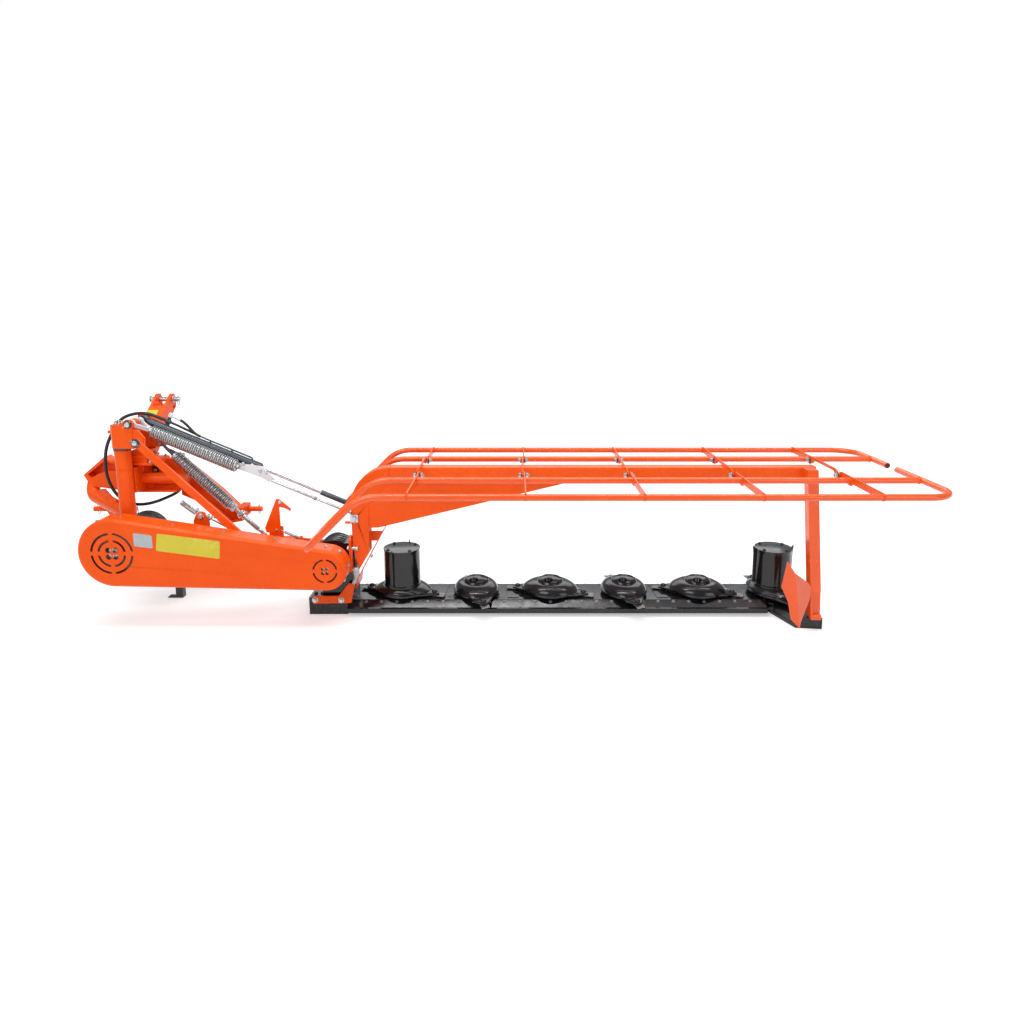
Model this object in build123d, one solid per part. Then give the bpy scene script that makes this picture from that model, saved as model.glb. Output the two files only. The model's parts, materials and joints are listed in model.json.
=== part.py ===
from build123d import *
import math
import os

# Rear-mounted disc mower, parked: cutter bar down on its skids, stand leg on the ground.
# X runs along the cutter bar to its outer end, Y forwards to the tractor, Z up from the ground.
# All sizes are millimetres. The origin is on the ground under the middle of the machine.

# Fits
slip = 0.3
seat = 0.2

# Cutter bar and discs
disc_count = 6
disc_pitch = 400
first_disc_x = -380
disc_y = 195
disc_dome_radius = 125
disc_neck_radius = 98
disc_rim_z = 88
disc_rim_thickness = 12
disc_neck_z = 130
disc_top_z = 182
disc_ear_radius = 27
disc_ear_reach = 182
disc_rest_turn = 14.5
knife_length = 92
knife_width = 44
knife_thickness = 5
knife_tip = 240
knife_bolt_radius = 11
hub_radius = 60
drum_radius = 98
drum_wall = 4
drum_top_z = 334
bar_left = -655
bar_right = 1560
bar_bottom_z = 20
bar_top_z = 76
bar_rear_y = 46
bar_front_y = 376
bar_rear_lip_z = 45
bar_front_lip_z = 58
skid_half_width = 105

# Shoes at the two ends of the bar
inner_shoe_left = -861
inner_shoe_top_z = 94
inner_shoe_rear_y = 80
inner_shoe_front_y = 372
outer_shoe_top_z = 58
outer_shoe_right = 1785
outer_shoe_rear_y = -105
outer_shoe_front_y = 360

# Pivot of the bar, on the axis of the driven pulley
pivot_x = -715
pivot_z = 313
gearbox_radius = 100
gearbox_rear_y = 58
gearbox_front_y = 196
near_trunnion_radius = 55
far_trunnion_radius = 30
carrier_rear_y = 20
carrier_front_y = 50
far_carrier_rear_y = 205
far_carrier_front_y = 225

# Tower and guard beam
beam_rear_y = 17
beam_front_y = 94
beam_top_z = 811
beam_bottom_z = 731
beam_right = 1747
tower_left = -604
tower_right = -512
tower_bend_radius = 200
gusset_thickness = 8
gusset_bottom_z = 497
gusset_foot = 43
gusset_tip_x = 487
tower_pin_x = -588
tower_pin_z = 548
tower_pin_radius = 12

# Guard frames
rail_radius = 15
rail_z = 800
rear_outer_rail_y = -533
rear_inner_rail_y = -217
front_inner_rail_y = 282
front_outer_rail_y = 535
rail_right = 2152
rail_bend_x = -443
rail_end_x = -687
rail_end_z = 556
rail_bend_radius = 180
rail_corner_radius = 130
rail_tail_corner_radius = 45
rear_end_gap_y = 12
front_end_gap_y = 118
rear_hinge_y = -105
front_hinge_y = 250
hinge_bolt_radius = 6
cross_bar_count = 5
cross_bar_pitch = 512.5
first_cross_bar_x = -245
cross_bar_thickness = 6
cross_bar_gap = 3
cross_bar_low_z = 788
cross_bar_high_z = 820

# Outer post and divider
post_foot = (1743, -100, 58)
post_head = (1708, -14, 811)
post_width = 54
post_depth = 58
post_window_low_z = 84
post_window_high_z = 198
post_window_depth = 22
divider_fold_y = -190
divider_fold_top = (1596, 330)
divider_fold_low = (1638, 40)
divider_thickness = 4
deflector_thickness = 4

# Belt drive and its cover
drive_x = -1765
drive_z = 405
cover_rear_y = -120
cover_front_y = -14
cover_wall = 3
cover_bevel = 12
cover_left_radius = 175
cover_right_radius = 105
back_plate_thickness = 8
drive_pulley_radius = 140
driven_pulley_radius = 75
pulley_rear_y = -100
pulley_front_y = -35
belt_thickness = 10
belt_width = 13
belt_count = 4
input_shaft_radius = 25
input_stub_radius = 17.5
input_stub_end_y = 262
driven_shaft_radius = 20
shield_radius = 112
shield_clearance = 5
shield_wall = 6
shield_end_y = 275

# Post that the arm swings about
swing_x = -1765
swing_y = 70
sleeve_outer = 39
kingpin_radius = 30
sleeve_bottom_z = 492
sleeve_top_z = 893
head_bottom_z = 905
head_top_z = 1024
head_rear_y = 28
head_front_y = 126
head_left = -1800
head_right = -1700
head_chamfer = 14
pin_boss_radius = 24
cheek_depth = 14

# Arm behind the cover
arm_rear_y = 20
arm_front_y = 80
arm_left = -1818
arm_right = -950
arm_left_low_z = 330
arm_slope_left = -1705
arm_slope_left_z = 470
arm_slope_right = -1000
arm_slope_right_z = 402
anchor_tube_radius = 20
cross_box_left = -1020
cross_box_right = -945
cross_box_bottom_z = 275
cross_box_top_z = 388
pad_rear_y = -5.8
cover_pads = ((-1430, 390), (-1050, 350))

# Lift strut: cylinder and spring side by side, on the upper pin
upper_pin_x = -1703
upper_pin_z = 1028
upper_pin_radius = 12
spring_y = 133
cylinder_y = 193
spring_start = 82
spring_end = 542
spring_radius = 34
spring_wire = 9
spring_turns = 38
spring_drop = 22
barrel_radius = 22
barrel_start = 40
barrel_end = 645
cylinder_eye_radius = 22
port_along = 106.6
port_above = 41
piston_start = 345
piston_rod_radius = 10
lower_rod_radius = 8
rod_eye_radius = 22
cross_pin_rear_y = 119
fork_rear_y = 57
fork_front_y = 70
fork_room = 6
fork_arm_radius = 8

# Float spring between head and arm
float_y = 194
float_hook = (-1627, 904)
float_start = (-1551, 835)
float_end = (-1283, 571)
float_anchor = (-1121, 416)
float_radius = 31
float_wire = 8.5
float_turns = 30

# Brace from head to cover back
brace_pin_x = -1656
brace_pin_z = 941
brace_foot_x = -1150
brace_foot_z = 445
brace_width = 36
brace_rear_y = -5.8
brace_front_y = 10.2

# Stand
stand_x = -1652
stand_y = 325
stand_size = 40
stand_top_z = 422
socket_wall = 5.5
socket_bottom_z = 320
socket_top_z = 412

# Breakaway link on top of the arm
breakaway_left = -1420
breakaway_right = -1338
breakaway_top_z = 576
breakaway_rear_y = 34
breakaway_front_y = 50

# Latch
latch_x = -1017
latch_z = 455
latch_rear_y = 102
latch_front_y = 110
latch_pin_radius = 7

# Hitch
hitch_rear_y = 190
hitch_front_y = 330
hitch_left = -1821
hitch_box_right = -1650
hitch_right = -1563
arm_plate_y = 290
hitch_bottom_z = 640
hitch_top_z = 800
wing_rear_y = 262
channel_wall = 12
elbow_radius = 33
elbow_bend_radius = 60
boss_radius = 30
ear_thickness = 16
link_pin_radius = 14.2
link_shank_radius = 13
link_pin_y = 430
link_pin_z = 482
left_link_tip = -2150
left_link_shoulder = -2054
left_link_end = -1909
right_link_tip = -1201
right_link_shoulder = -1274
right_link_end = -1345
mast_left = -1765
mast_right = -1675
mast_ear = 14
mast_foot_rear_y = 128
mast_foot_plate = 12
mast_foot_gap = 38
mast_foot_height = 72
mast_heel_y = 240
mast_hole_radius = 10
mast_hole_drop = 45
top_link_y = 480
top_link_z = 1100
top_link_radius = 12.7

# Hydraulic hose, from its parked coupler behind the headstock to the lift cylinder.
# The connector behind the head joins the two lengths.
hose_radius = 8
connector_radius = 12
coupler_radius = 13
coupler_length = 52
hose_lower_route = [
    (-1610, 398, 759),
    (-1610, 397, 719),
    (-1611, 392, 675),
    (-1613, 372, 637),
    (-1617, 340, 613),
    (-1622, 300, 605),
    (-1640, 258, 598),
    (-1674, 218, 586),
    (-1719, 186, 577),
    (-1768, 164, 579),
    (-1812, 149, 597),
    (-1852, 138, 636),
    (-1880, 131, 694),
    (-1894, 128, 768),
    (-1886, 127, 862),
    (-1862, 123, 928),
    (-1846, 133, 962),
]
hose_upper_route = [
    (-1834, 141, 988),
    (-1819, 151, 1020),
    (-1788, 164, 1048),
    (-1740, 178, 1063),
    (-1690, 188, 1064),
    (-1640, 193, 1047),
    (-1591, 194, 1025),
]
hose_end = hose_lower_route[0]
hose_join = hose_lower_route[-1]
hose_join_top = hose_upper_route[0]


def block(x0, x1, y0, y1, z0, z1):
    centre = Pos((x0 + x1) / 2, (y0 + y1) / 2, (z0 + z1) / 2)
    return centre * Box(x1 - x0, y1 - y0, z1 - z0)


def rod(start, end, radius):
    run = Vector(*end) - Vector(*start)
    low = (Align.CENTER, Align.CENTER, Align.MIN)
    return Plane(origin=start, z_dir=run) * Cylinder(radius, run.length, align=low)


def tube(start, end, outer, inner):
    return rod(start, end, outer) - rod(start, end, inner)


def rod_y(x, z, y0, y1, radius):
    return rod((x, y0, z), (x, y1, z), radius)


def ring_y(x, z, y0, y1, outer, inner):
    return tube((x, y0, z), (x, y1, z), outer, inner)


def plate_xz(points, y0, y1):
    outline = make_face(Polyline(*[(x, y0, z) for x, z in points], close=True))
    return extrude(outline, amount=y1 - y0, dir=(0, 1, 0))


def plate_yz(points, x0, x1):
    outline = make_face(Polyline(*[(x0, y, z) for y, z in points], close=True))
    return extrude(outline, amount=x1 - x0, dir=(1, 0, 0))


def plate_xy(points, z0, z1):
    outline = make_face(Polyline(*[(x, y, z0) for x, y in points], close=True))
    return extrude(outline, amount=z1 - z0, dir=(0, 0, 1))


def bent_tube(points, bends, radius):
    path = FilletPolyline(*points, radius=bends)
    section = Plane(origin=path @ 0, z_dir=path % 0) * Circle(radius)
    return sweep(section, path=path)


def coil_sleeve(start, end, outer, wire, turns):
    """A close-wound spring as one sleeve, with one bulge for each turn."""
    run = Vector(*end) - Vector(*start)
    pitch = run.length / turns
    valley = outer - 0.35 * wire
    edges = [
        ThreePointArc((valley, 0, i * pitch), (outer, 0, (i + 0.5) * pitch), (valley, 0, (i + 1) * pitch))
        for i in range(turns)
    ]
    inner = outer - wire
    edges.append(Polyline((valley, 0, run.length), (inner, 0, run.length), (inner, 0, 0), (valley, 0, 0)))
    sleeve = revolve(make_face(edges), axis=Axis.Z)
    return Plane(origin=start, z_dir=run) * sleeve


def on_strut(along, above, y):
    """A point on the lift strut, measured from the upper pin towards the tower pin."""
    run_x = tower_pin_x - upper_pin_x
    run_z = tower_pin_z - upper_pin_z
    length = math.hypot(run_x, run_z)
    ux, uz = run_x / length, run_z / length
    return (upper_pin_x + along * ux - above * uz, y, upper_pin_z + along * uz + above * ux)


strut_length = math.hypot(tower_pin_x - upper_pin_x, tower_pin_z - upper_pin_z)


# Belt cover, pulleys and belts


def belt_line(left_radius, right_radius, y):
    """Outline round the two pulley axes: two arcs and two straight runs, as a face."""
    run_x = pivot_x - drive_x
    run_z = pivot_z - drive_z
    lean = math.atan2(run_z, run_x)
    spread = math.acos((left_radius - right_radius) / math.hypot(run_x, run_z))

    def around(x, z, radius, angle):
        return (x + radius * math.cos(angle), y, z + radius * math.sin(angle))

    left_top = around(drive_x, drive_z, left_radius, lean + spread)
    left_tip = around(drive_x, drive_z, left_radius, lean + math.pi)
    left_low = around(drive_x, drive_z, left_radius, lean - spread)
    right_top = around(pivot_x, pivot_z, right_radius, lean + spread)
    right_tip = around(pivot_x, pivot_z, right_radius, lean)
    right_low = around(pivot_x, pivot_z, right_radius, lean - spread)
    return make_face(
        [
            Line(left_top, right_top),
            ThreePointArc(right_top, right_tip, right_low),
            Line(right_low, left_low),
            ThreePointArc(left_low, left_tip, left_top),
        ]
    )


def belt_block(grow, y0, y1):
    outline = belt_line(cover_left_radius + grow, cover_right_radius + grow, y0)
    return extrude(outline, amount=y1 - y0, dir=(0, 1, 0))


def vent_ring(x, z, radius, width):
    """Four curved slots on one circle, cut through the cover's face."""
    y0 = cover_rear_y - 1
    y1 = cover_rear_y + cover_wall + 1
    ring = ring_y(x, z, y0, y1, radius + width / 2, radius - width / 2)
    bar = block(x - radius - width, x + radius + width, y0, y1, z - width, z + width)
    return ring - bar - Pos(x, 0, z) * Rot(0, 90, 0) * Pos(-x, 0, -z) * bar


def belt_cover():
    shell = belt_block(0, cover_rear_y, cover_front_y)
    shell = chamfer(shell.faces().sort_by(Axis.Y)[0].edges(), cover_bevel)
    room = belt_block(-cover_wall, cover_rear_y + cover_wall, cover_front_y + 1)
    room = chamfer(room.faces().sort_by(Axis.Y)[0].edges(), cover_bevel)
    shell = shell - room
    # ring radius, slot width, for the left and right pulley
    for x, z, radius, width in (
        (drive_x, drive_z, 101, 10),
        (drive_x, drive_z, 65, 10),
        (pivot_x, pivot_z, 58, 8),
    ):
        shell = shell - vent_ring(x, z, radius, width)
    for x, z, reach, radius in ((drive_x, drive_z, 17, 14), (pivot_x, pivot_z, 11, 8)):
        for side_x in (-1, 1):
            for side_z in (-1, 1):
                hole_x = x + side_x * reach
                hole_z = z + side_z * reach
                hole_end = cover_rear_y + cover_wall + 1
                shell = shell - rod_y(hole_x, hole_z, cover_rear_y - 1, hole_end, radius)
    return shell


def cover_back():
    y0 = cover_front_y
    y1 = y0 + back_plate_thickness
    plate = belt_block(0, y0, y1)
    plate = plate - rod_y(drive_x, drive_z, y0 - 1, y1 + 1, input_shaft_radius + slip)
    return plate - rod_y(pivot_x, pivot_z, y0 - 1, y1 + 1, driven_shaft_radius + slip)


def belts():
    inner_left = drive_pulley_radius + slip
    inner_right = driven_pulley_radius + slip
    room = (pulley_front_y - pulley_rear_y) / belt_count
    loops = []
    for i in range(belt_count):
        y0 = pulley_rear_y + (i + 0.5) * room - belt_width / 2
        outer = belt_line(inner_left + belt_thickness, inner_right + belt_thickness, y0)
        inner = belt_line(inner_left, inner_right, y0)
        loops.append(extrude(outer - inner, amount=belt_width, dir=(0, 1, 0)))
    return Compound(children=loops)


def pulley(x, z, radius, shaft_radius):
    """Spoked pulley with a rim and a hub."""
    rim = ring_y(x, z, pulley_rear_y, pulley_front_y, radius, radius - 14)
    middle = (pulley_rear_y + pulley_front_y) / 2
    web = rod_y(x, z, middle - 6, middle + 6, radius - 13)
    hub = rod_y(x, z, pulley_rear_y, pulley_front_y, shaft_radius + 14)
    return rim + web + hub - rod_y(x, z, pulley_rear_y - 1, pulley_front_y + 1, shaft_radius)


def input_shaft():
    inner_end = pulley_rear_y - 6
    shaft = rod_y(drive_x, drive_z, inner_end, arm_front_y + 12, input_shaft_radius)
    return shaft + rod_y(drive_x, drive_z, arm_front_y + 12, input_stub_end_y, input_stub_radius)


def driven_shaft():
    return rod_y(pivot_x, pivot_z, pulley_rear_y - 6, gearbox_rear_y - 30, driven_shaft_radius)


def pto_shield():
    start_y = head_front_y + seat
    skirt = ring_y(drive_x, drive_z, start_y, shield_end_y, shield_radius, shield_radius - shield_wall)
    base = ring_y(drive_x, drive_z, start_y, start_y + shield_wall, shield_radius, input_shaft_radius + 12)
    return skirt + base


# Headstock


def pocket_xz(points, y0, y1):
    """The room inside a channel whose open side faces the rear."""
    outline = make_face(Polyline(*[(x, y0, z) for x, z in points], close=True))
    inside = offset(outline, amount=-channel_wall, kind=Kind.INTERSECTION)
    return extrude(inside, amount=y1 - y0, dir=(0, 1, 0))


def hitch_z(share):
    """A height on the headstock frame, as a share of the frame's depth."""
    return hitch_bottom_z + share * (hitch_top_z - hitch_bottom_z)


def hitch_wing():
    """Left wing of the frame, with a recess under its top edge."""
    outline = [
        (hitch_left - 250, hitch_z(0.24)),
        (hitch_left - 270, hitch_z(0.48)),
        (hitch_left - 147, hitch_z(1.11)),
        (hitch_left - 122, hitch_z(0.97)),
        (hitch_left, hitch_z(0.95)),
        (hitch_left, hitch_z(-0.02)),
        (hitch_left - 102, hitch_z(-0.03)),
        (hitch_left - 240, hitch_z(0.11)),
    ]
    recess = [
        (hitch_left - 232, hitch_z(0.37)),
        (hitch_left - 248, hitch_z(0.5)),
        (hitch_left - 145, hitch_z(0.98)),
        (hitch_left - 118, hitch_z(0.88)),
        (hitch_left - 12, hitch_z(0.88)),
        (hitch_left - 12, hitch_z(0.62)),
        (hitch_left - 140, hitch_z(0.61)),
        (hitch_left - 187, hitch_z(0.52)),
    ]
    wing = plate_xz(outline, wing_rear_y, hitch_front_y)
    return wing - plate_xz(recess, wing_rear_y - 1, hitch_front_y - channel_wall)


def hitch_arm():
    """Right arm of the frame, a channel that runs down to the right link pin."""
    top_x = hitch_right - 20
    outline = [
        (top_x, hitch_top_z - 5),
        (right_link_shoulder - 109, link_pin_z + 136),
        (right_link_shoulder - 16, link_pin_z + 38),
        (right_link_shoulder + 12, link_pin_z - 30),
        (right_link_shoulder - 56, link_pin_z - 42),
        (right_link_shoulder - 142, link_pin_z + 42),
        (top_x, hitch_bottom_z - 40),
    ]
    arm = plate_xz(outline, arm_plate_y, hitch_front_y + 40)
    return arm - pocket_xz(outline, arm_plate_y - 1, hitch_front_y)


def link_ear(back_y, top_z, front_z, x):
    """One ear of the left link pin, hung from the elbow."""
    outline = [
        (back_y, top_z),
        (back_y, top_z - 30),
        (link_pin_y - 25, link_pin_z - 32),
        (link_pin_y + 30, link_pin_z - 32),
        (link_pin_y + 32, link_pin_z + 38),
        (back_y + 78, front_z),
    ]
    return plate_yz(outline, x, x + ear_thickness)


def hitch_frame():
    z0 = hitch_bottom_z
    z1 = hitch_top_z
    frame = block(hitch_left, hitch_box_right, hitch_rear_y, hitch_front_y, z0, z1)
    frame = frame + block(hitch_box_right, hitch_right, arm_plate_y, hitch_front_y, z0, z1)
    room_x = swing_x + 35
    low_z = z0 + channel_wall
    room_end = hitch_box_right + 1
    frame = frame - block(room_x, room_end, hitch_rear_y - 1, arm_plate_y, low_z, z1 - channel_wall)
    frame = frame + block(room_x, hitch_right, hitch_rear_y, arm_plate_y, z0, low_z)
    web = block(swing_x - 35, room_x, swing_y + 30, hitch_rear_y, hitch_bottom_z + 20, hitch_top_z - 10)
    boss_start = (swing_x + 17, hitch_rear_y, hitch_z(0.48))
    boss = rod(boss_start, (hitch_right + 63, hitch_rear_y + 10, hitch_z(0.46)), boss_radius)
    elbow_y = hitch_front_y - elbow_radius - 1
    elbow_points = [
        (hitch_left - 222, elbow_y, hitch_z(0.31)),
        (hitch_left - 270, elbow_y, hitch_bottom_z - 30),
        (swing_x - 20, swing_y + 15, hitch_bottom_z - 84),
    ]
    elbow = bent_tube(elbow_points, elbow_bend_radius, elbow_radius)
    left_ear = link_ear(hitch_front_y - 45, z0 - 10, z0 - 25, left_link_shoulder + 2)
    inner_ear = link_ear(hitch_front_y - 108, z0 - 55, z0 - 78, left_link_end - 53)
    right_ear = block(
        right_link_shoulder - 42,
        right_link_shoulder - 2,
        hitch_front_y,
        link_pin_y + 32,
        link_pin_z - 30,
        link_pin_z + 30,
    )
    end_x, end_y, end_z = hose_end
    holder = block(end_x - 24, end_x + 24, hitch_front_y - 1, end_y + 24, end_z + 6, end_z + 16)
    coupler_bore = rod(hose_end, (end_x, end_y, end_z + 60), coupler_radius + seat)
    frame = frame + web + boss + hitch_wing() + elbow + hitch_arm()
    frame = frame + left_ear + inner_ear + right_ear + holder - coupler_bore
    post_low = (swing_x, swing_y, sleeve_bottom_z - 60)
    frame = frame - rod(post_low, (swing_x, swing_y, sleeve_top_z), sleeve_outer + seat)
    link_left = (left_link_tip, link_pin_y, link_pin_z)
    link_right = (right_link_tip, link_pin_y, link_pin_z)
    return frame - rod(link_left, link_right, link_shank_radius + seat)


def lower_link_pins():
    """Two shouldered pins: a free end for the tractor's link, and a shank held by the ears."""
    pins = []
    for tip, shoulder, end in (
        (left_link_tip, left_link_shoulder, left_link_end),
        (right_link_tip, right_link_shoulder, right_link_end),
    ):
        free = rod((tip, link_pin_y, link_pin_z), (shoulder, link_pin_y, link_pin_z), link_pin_radius)
        shank = rod((shoulder, link_pin_y, link_pin_z), (end, link_pin_y, link_pin_z), link_shank_radius)
        pins.append(free + shank)
    return Compound(children=pins)


def mast():
    """Leaning mast on a double foot plate, with two ears for the top link's pin."""
    base_z = hitch_top_z
    foot_left = mast_left - 25
    foot_right = mast_right + 25
    foot_y = mast_foot_rear_y - 8
    upper_z = base_z + mast_foot_gap
    foot = block(foot_left, foot_right, foot_y, hitch_front_y, base_z, base_z + mast_foot_plate)
    foot = foot + block(foot_left, foot_right, foot_y, foot_y + 100, upper_z, upper_z + mast_foot_plate)
    side = [
        (mast_foot_rear_y, base_z + 1),
        (mast_foot_rear_y, base_z + mast_foot_height),
        (mast_heel_y, base_z + mast_foot_height),
        (mast_heel_y, base_z + 175),
        (top_link_y - 134, top_link_z - 53),
        (top_link_y - 94, top_link_z - 28),
        (top_link_y + 28, top_link_z - 28),
        (top_link_y + 28, top_link_z - 40),
        (mast_foot_rear_y + 77, base_z + 1),
    ]
    body = plate_yz(side, mast_left, mast_right)
    ear_side = [
        (top_link_y - 100, top_link_z - 34),
        (top_link_y + 28, top_link_z - 50),
        (top_link_y + 35, top_link_z + 5),
        (top_link_y + 18, top_link_z + 30),
        (top_link_y - 10, top_link_z + 32),
        (top_link_y - 40, top_link_z + 12),
    ]
    ears = plate_yz(ear_side, mast_left, mast_left + mast_ear)
    ears = ears + plate_yz(ear_side, mast_right - mast_ear, mast_right)
    bore_start = (mast_left - 5, top_link_y, top_link_z)
    bore_end = (mast_right + 5, top_link_y, top_link_z)
    bore = rod(bore_start, bore_end, top_link_radius + seat)
    hole_z = top_link_z - mast_hole_drop
    hole_start = (mast_right - mast_ear, top_link_y, hole_z)
    hole = rod(hole_start, (mast_right + 1, top_link_y, hole_z), mast_hole_radius)
    return foot + body + ears - bore - hole


def top_link_pin():
    start = (mast_left - 34, top_link_y, top_link_z)
    end = (mast_right + 36, top_link_y, top_link_z)
    return rod(start, end, top_link_radius)


def post_sleeve():
    low = (swing_x, swing_y, sleeve_bottom_z)
    return tube(low, (swing_x, swing_y, sleeve_top_z), sleeve_outer, kingpin_radius + slip)


# Arm that carries the belt drive


def head_bracket():
    """Head on top of the post: a block with slots for the spring's fork, and plates on both sides."""
    kingpin = rod((swing_x, swing_y, drive_z + 50), (swing_x, swing_y, head_bottom_z + 5), kingpin_radius)
    head = block(head_left, head_right, head_rear_y, head_front_y, head_bottom_z, head_top_z)
    slot_left = upper_pin_x - pin_boss_radius - 8
    slot_z = upper_pin_z - 43
    boss_start = fork_front_y + fork_room
    boss_end = spring_y - 29
    for y0, y1 in ((fork_rear_y - fork_room - 1, boss_start), (boss_end, head_front_y + 1)):
        head = head - block(slot_left, head_right + 1, y0, y1, slot_z, head_top_z + 1)
    face_y = head_rear_y + 16
    near_outline = [
        (head_left, head_bottom_z),
        (head_left, head_top_z),
        (upper_pin_x - 40, head_top_z),
        (upper_pin_x - 17, upper_pin_z + 17),
        (upper_pin_x + pin_boss_radius, upper_pin_z),
        (upper_pin_x + 14, slot_z),
        (upper_pin_x + 14, head_bottom_z),
    ]
    near = plate_xz(near_outline, head_rear_y, face_y)
    near = near + rod_y(upper_pin_x, upper_pin_z, head_rear_y, face_y, pin_boss_radius)
    cheek_outline = [
        (upper_pin_x + 12, head_bottom_z),
        (upper_pin_x + 12, upper_pin_z - 26),
        (upper_pin_x + 42, upper_pin_z - 30),
        (brace_pin_x + 26, brace_pin_z + 16),
        (brace_pin_x + 22, brace_pin_z - 22),
        (brace_pin_x - 20, head_bottom_z),
    ]
    cheek_y = head_rear_y + 6
    cheek = plate_xz(cheek_outline, cheek_y, cheek_y + cheek_depth)
    spacer = rod_y(brace_pin_x, brace_pin_z, brace_front_y + seat, cheek_y + 1, 18)
    brace_bolt = rod_y(brace_pin_x, brace_pin_z, brace_rear_y - 10, cheek_y + 2, 12)
    boss = rod_y(upper_pin_x, upper_pin_z, boss_start, boss_end, pin_boss_radius - 4)
    far_y = cylinder_y + 22
    cradle = block(head_left, slot_left, head_front_y, far_y, head_bottom_z - 20, head_bottom_z + 30)
    far_outline = [
        (head_left, head_bottom_z - 20),
        (upper_pin_x - 40, upper_pin_z + 22),
        (upper_pin_x + 22, upper_pin_z + 22),
        (upper_pin_x + 22, upper_pin_z - 30),
        (float_hook[0] + 18, float_hook[1] + 10),
        (float_hook[0] + 14, float_hook[1] - 18),
        (float_hook[0] - 30, head_bottom_z - 25),
        (head_left + 60, head_bottom_z - 25),
    ]
    far = plate_xz(far_outline, far_y, far_y + 14)
    hook_pin = rod_y(float_hook[0], float_hook[1], float_y - 12, cylinder_y + 30, 8)
    clip_x, clip_y, clip_z = hose_join
    clip = block(clip_x - 12, head_left + 4, head_front_y - 8, clip_y + 21, clip_z + 6, clip_z + 20)
    clip = clip - rod(hose_join, hose_join_top, connector_radius + seat)
    head = head + kingpin + near + cheek + spacer + brace_bolt + boss + cradle + far + hook_pin + clip
    corner = [
        (head_left - 1, head_rear_y - 1),
        (head_left + head_chamfer, head_rear_y - 1),
        (head_left - 1, head_rear_y + head_chamfer),
    ]
    head = head - plate_xy(corner, head_bottom_z - 1, upper_pin_z)
    pin_bore = upper_pin_radius + seat
    return head - rod_y(upper_pin_x, upper_pin_z, head_rear_y - 20, cylinder_y + 60, pin_bore)


def upper_pin():
    return rod_y(upper_pin_x, upper_pin_z, head_rear_y - 10, cylinder_y + 48, upper_pin_radius)


def arm_top_at(x):
    """Height of the arm's sloping top between its post end and its pivot end."""
    share = (x - arm_slope_left) / (arm_slope_right - arm_slope_left)
    return arm_slope_left_z + share * (arm_slope_right_z - arm_slope_left_z)


def arm_beam():
    outline = [
        (arm_left, sleeve_bottom_z - 2),
        (arm_left, arm_left_low_z),
        (arm_right, cross_box_bottom_z),
        (arm_right, arm_slope_right_z - 7),
        (arm_slope_right, arm_slope_right_z),
        (arm_slope_left, arm_slope_left_z),
        (arm_slope_left, sleeve_bottom_z - 2),
    ]
    beam = plate_xz(outline, arm_rear_y, arm_front_y)
    beam = beam + rod_y(drive_x, drive_z, pad_rear_y, arm_rear_y + 1, input_shaft_radius + 20)
    for x, z in cover_pads:
        beam = beam + block(x - 30, x + 30, pad_rear_y, arm_rear_y + 1, z - 25, z + 25)
    bearing_z = sleeve_bottom_z - 2
    bearing = block(arm_left, swing_x + 57, arm_rear_y - 6, head_front_y, bearing_z - 50, bearing_z)
    near_outline = [
        (arm_right, cross_box_top_z + 4),
        (arm_right, cross_box_bottom_z),
        (pivot_x, pivot_z - 74),
        (pivot_x, pivot_z + 74),
    ]
    near = plate_xz(near_outline, carrier_rear_y, carrier_front_y)
    near = near + rod_y(pivot_x, pivot_z, pad_rear_y, carrier_front_y, 75)
    box_z = cross_box_top_z
    far_y = far_carrier_front_y
    cross = block(cross_box_left, cross_box_right, carrier_rear_y, far_y, cross_box_bottom_z, box_z)
    far_outline = [
        (cross_box_left, cross_box_top_z),
        (cross_box_left, cross_box_bottom_z),
        (pivot_x, pivot_z - 47),
        (pivot_x, pivot_z + 47),
    ]
    far = plate_xz(far_outline, far_carrier_rear_y, far_carrier_front_y)
    far = far + rod_y(pivot_x, pivot_z, far_carrier_rear_y, far_carrier_front_y, 48)
    anchor_z = float_anchor[1] - 22
    anchor_tube = rod_y(float_anchor[0], anchor_z, arm_front_y - 5, float_y + 14, anchor_tube_radius)
    lug_y = latch_front_y + 1.5
    latch_lug = block(latch_x - 42, latch_x + 32, lug_y, lug_y + 7.5, box_z - 1, latch_z + 20)
    latch_pin = rod_y(latch_x, latch_z, latch_rear_y - 4, latch_front_y + 5, latch_pin_radius)
    shelf_y0 = latch_rear_y - 2
    shelf_y1 = latch_front_y + 2
    shelf_x = cross_box_right
    shelf_z = box_z - 12
    spring_shelf = block(shelf_x - 1, shelf_x + 65, shelf_y0, shelf_y1, shelf_z, box_z)
    spring_post = block(shelf_x + 47, shelf_x + 61, shelf_y0, shelf_y1, shelf_z, box_z + 36)
    stand_arm_left = drive_x + shield_radius + shield_clearance
    low_z = socket_bottom_z + 20
    stand_arm = block(stand_arm_left, stand_x + 24, arm_front_y - 1, stand_y - 22, low_z, low_z + 60)
    beam = beam + bearing + near + cross + far + anchor_tube + latch_lug + latch_pin
    beam = beam + spring_shelf + spring_post + stand_arm
    kingpin_low = (swing_x, swing_y, drive_z + 49)
    beam = beam - rod(kingpin_low, (swing_x, swing_y, sleeve_bottom_z + 8), kingpin_radius + seat)
    beam = beam - rod_y(drive_x, drive_z, pad_rear_y - 1, head_front_y + 5, input_shaft_radius + slip)
    beam = beam - rod_y(pivot_x, pivot_z, pad_rear_y - 1, 60, near_trunnion_radius + slip)
    beam = beam - rod_y(pivot_x, pivot_z, 195, 235, far_trunnion_radius + slip)
    return beam - stand_block(stand_size / 2 + socket_wall + seat, socket_bottom_z, socket_top_z)


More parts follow.
